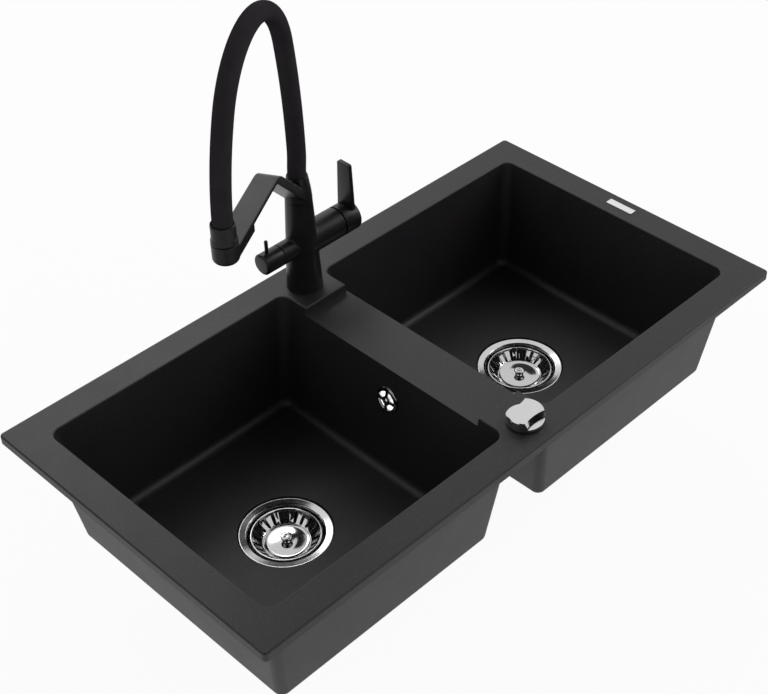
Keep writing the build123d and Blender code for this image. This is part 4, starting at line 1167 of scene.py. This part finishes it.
@dataclass
class SprayHead:
    """The sleeve that joins the hose to the spray head in the arm's cup."""

    x: float = -194.856
    y: float = 63.5
    top: float = 11.0
    outline: Profile = (
        (5.5, 222.5), (13.9, 222.5), (14.4, 223.0), (14.4, 225.3), (14.0, 226.6), (13.5, 228.4),
        (13.3, 230.0), (13.3, 242.6), (13.1, 244.2), (12.6, 245.0), (11.8, 244.8), (11.7, 227.3),
        (5.5, 227.3), (5.5, 222.5))

    def build(self) -> None:
        """Makes the sleeve."""
        sleeve = lathe("sleeve", self.outline, (self.x, self.y, self.top), steps=80)
        soften(sleeve, 0.25, angle=35)
        install(sleeve, "spout", Coat().material("sleeve_coat"), ["head_sleeve"], 28)


@dataclass
class Underside:
    """Threads and nuts that fix the tap and the remote control under the rim."""

    tap_y: float = 176.0
    thread: Thread = Thread(root=14.4, crest=15.2, pitch=1.5, flank=0.45, flat=0.2,
                            top=-13.0, first=-13.5, last=-29.0, end=-30.5)
    tap_nut: Nut = Nut("tap_nut", 36.0, 10.0, 15.06, (0.0, 176.0, -19.5))
    knob_nut: Nut = Nut("knob_nut", 30.0, 7.0, 12.06, (0.0, -180.0, -14.5))
    brass: Metal = Metal((0.62, 0.46, 0.22), (0.52, 0.37, 0.16), 0.26, Lay.CLOUDED)

    def build(self) -> None:
        """Makes the shank's thread and the nuts."""
        thread = lathe("shank_thread", self.thread.profile(), (0.0, self.tap_y, 0.0), steps=72)
        install(thread, "sink", self.brass.material("thread_brass"))
        install(self.tap_nut.build(), "sink", self.brass.material("nut_brass"),
                ["fixing_nut"])
        install(self.knob_nut.build(), "sink", Plastic().material("nut_plastic"),
                ["plug_nut"])


@dataclass
class Plate:
    """The blank plate on the right of the rim."""

    x: float = 392.4
    top: float = 11.0
    size: tuple[float, float, float] = (10.5, 40.0, 0.8)
    steel: Metal = Metal((0.80, 0.79, 0.80), (0.70, 0.69, 0.70), 0.22, Lay.ALONG_Y)

    def build(self) -> None:
        """Makes the plate with a soft edge."""
        plate = block("plate", self.size, (self.x, 0.0, self.top + self.size[2] / 2))
        soften(plate, 0.3, 3)
        install(plate, "sink", self.steel.material("plate_brushed"), ["badge_plate"])


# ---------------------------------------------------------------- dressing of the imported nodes
BLACK_PLASTIC = Plastic(body=(0.03, 0.03, 0.03), shade=(0.02, 0.02, 0.02))
SHARED_FINISHES: dict[str, Composite | Coat | Silicone] = {
    "composite": Composite(), "tap_black": Coat(), "hose_silicone": Silicone(),
    "seal_rubber": Silicone(roughness=0.6)}
OWN_FINISHES: dict[str, Metal | Plastic] = {
    "drain_steel": Metal(), "basket_steel": Metal(), "pull_steel": Metal(), "knob_chrome": Metal(),
    "screw_steel": Metal(), "rosette_chrome": Metal(roughness=0.12),
    "plate_steel": Metal(lay=Lay.ALONG_Y),
    "valve_brass": Metal((0.60, 0.44, 0.20), (0.50, 0.35, 0.15), 0.3, Lay.CLOUDED),
    "waste_plastic": Plastic(), "cartridge_plastic": BLACK_PLASTIC,
    "outlet_plastic": BLACK_PLASTIC, "ring_black": BLACK_PLASTIC}


def dress(node: str, material: bpy.types.Material) -> None:
    """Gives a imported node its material.

    Args:
        node: The node's name.
        material: The material for all its faces.
    """
    mesh = frame["nodes"][node].data
    if mesh.materials:
        for number in range(len(mesh.materials)):
            mesh.materials[number] = material
    else:
        mesh.materials.append(material)


def own_material(node: str, slot: str) -> bpy.types.Material:
    """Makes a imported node's own material, with a turned metal's lines round the node's middle.

    Args:
        node: The node's name.
        slot: Its material slot.

    Returns:
        The material.
    """
    finish = OWN_FINISHES[slot]
    if isinstance(finish, Metal) and finish.lay is Lay.ROUND:
        low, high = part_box(node)
        finish = replace(finish, centre=tuple((low + high) / 2))
    return finish.material(f"{node}_{slot}")


def main() -> None:
    """Builds the studio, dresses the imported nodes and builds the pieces."""
    logging.basicConfig(level=logging.INFO, format="%(message)s")
    Camera().build()
    Studio().build()
    shared = {slot: finish.material(slot) for slot, finish in SHARED_FINISHES.items()}
    for part in frame["record"]["subparts"]:
        node, slot = part["node"], part["material_slot"]
        dress(node, shared[slot] if slot in shared else own_material(node, slot))
    for piece in (Waste("left", -202.0), Waste("right", 202.0), Overflow(), PlugKnob(), Lever(),
                  FilterKnob(), SprayHead(), Underside(), Plate()):
        piece.build()
        log.info("built %s", type(piece).__name__)


if __name__ == "__main__":
    main()
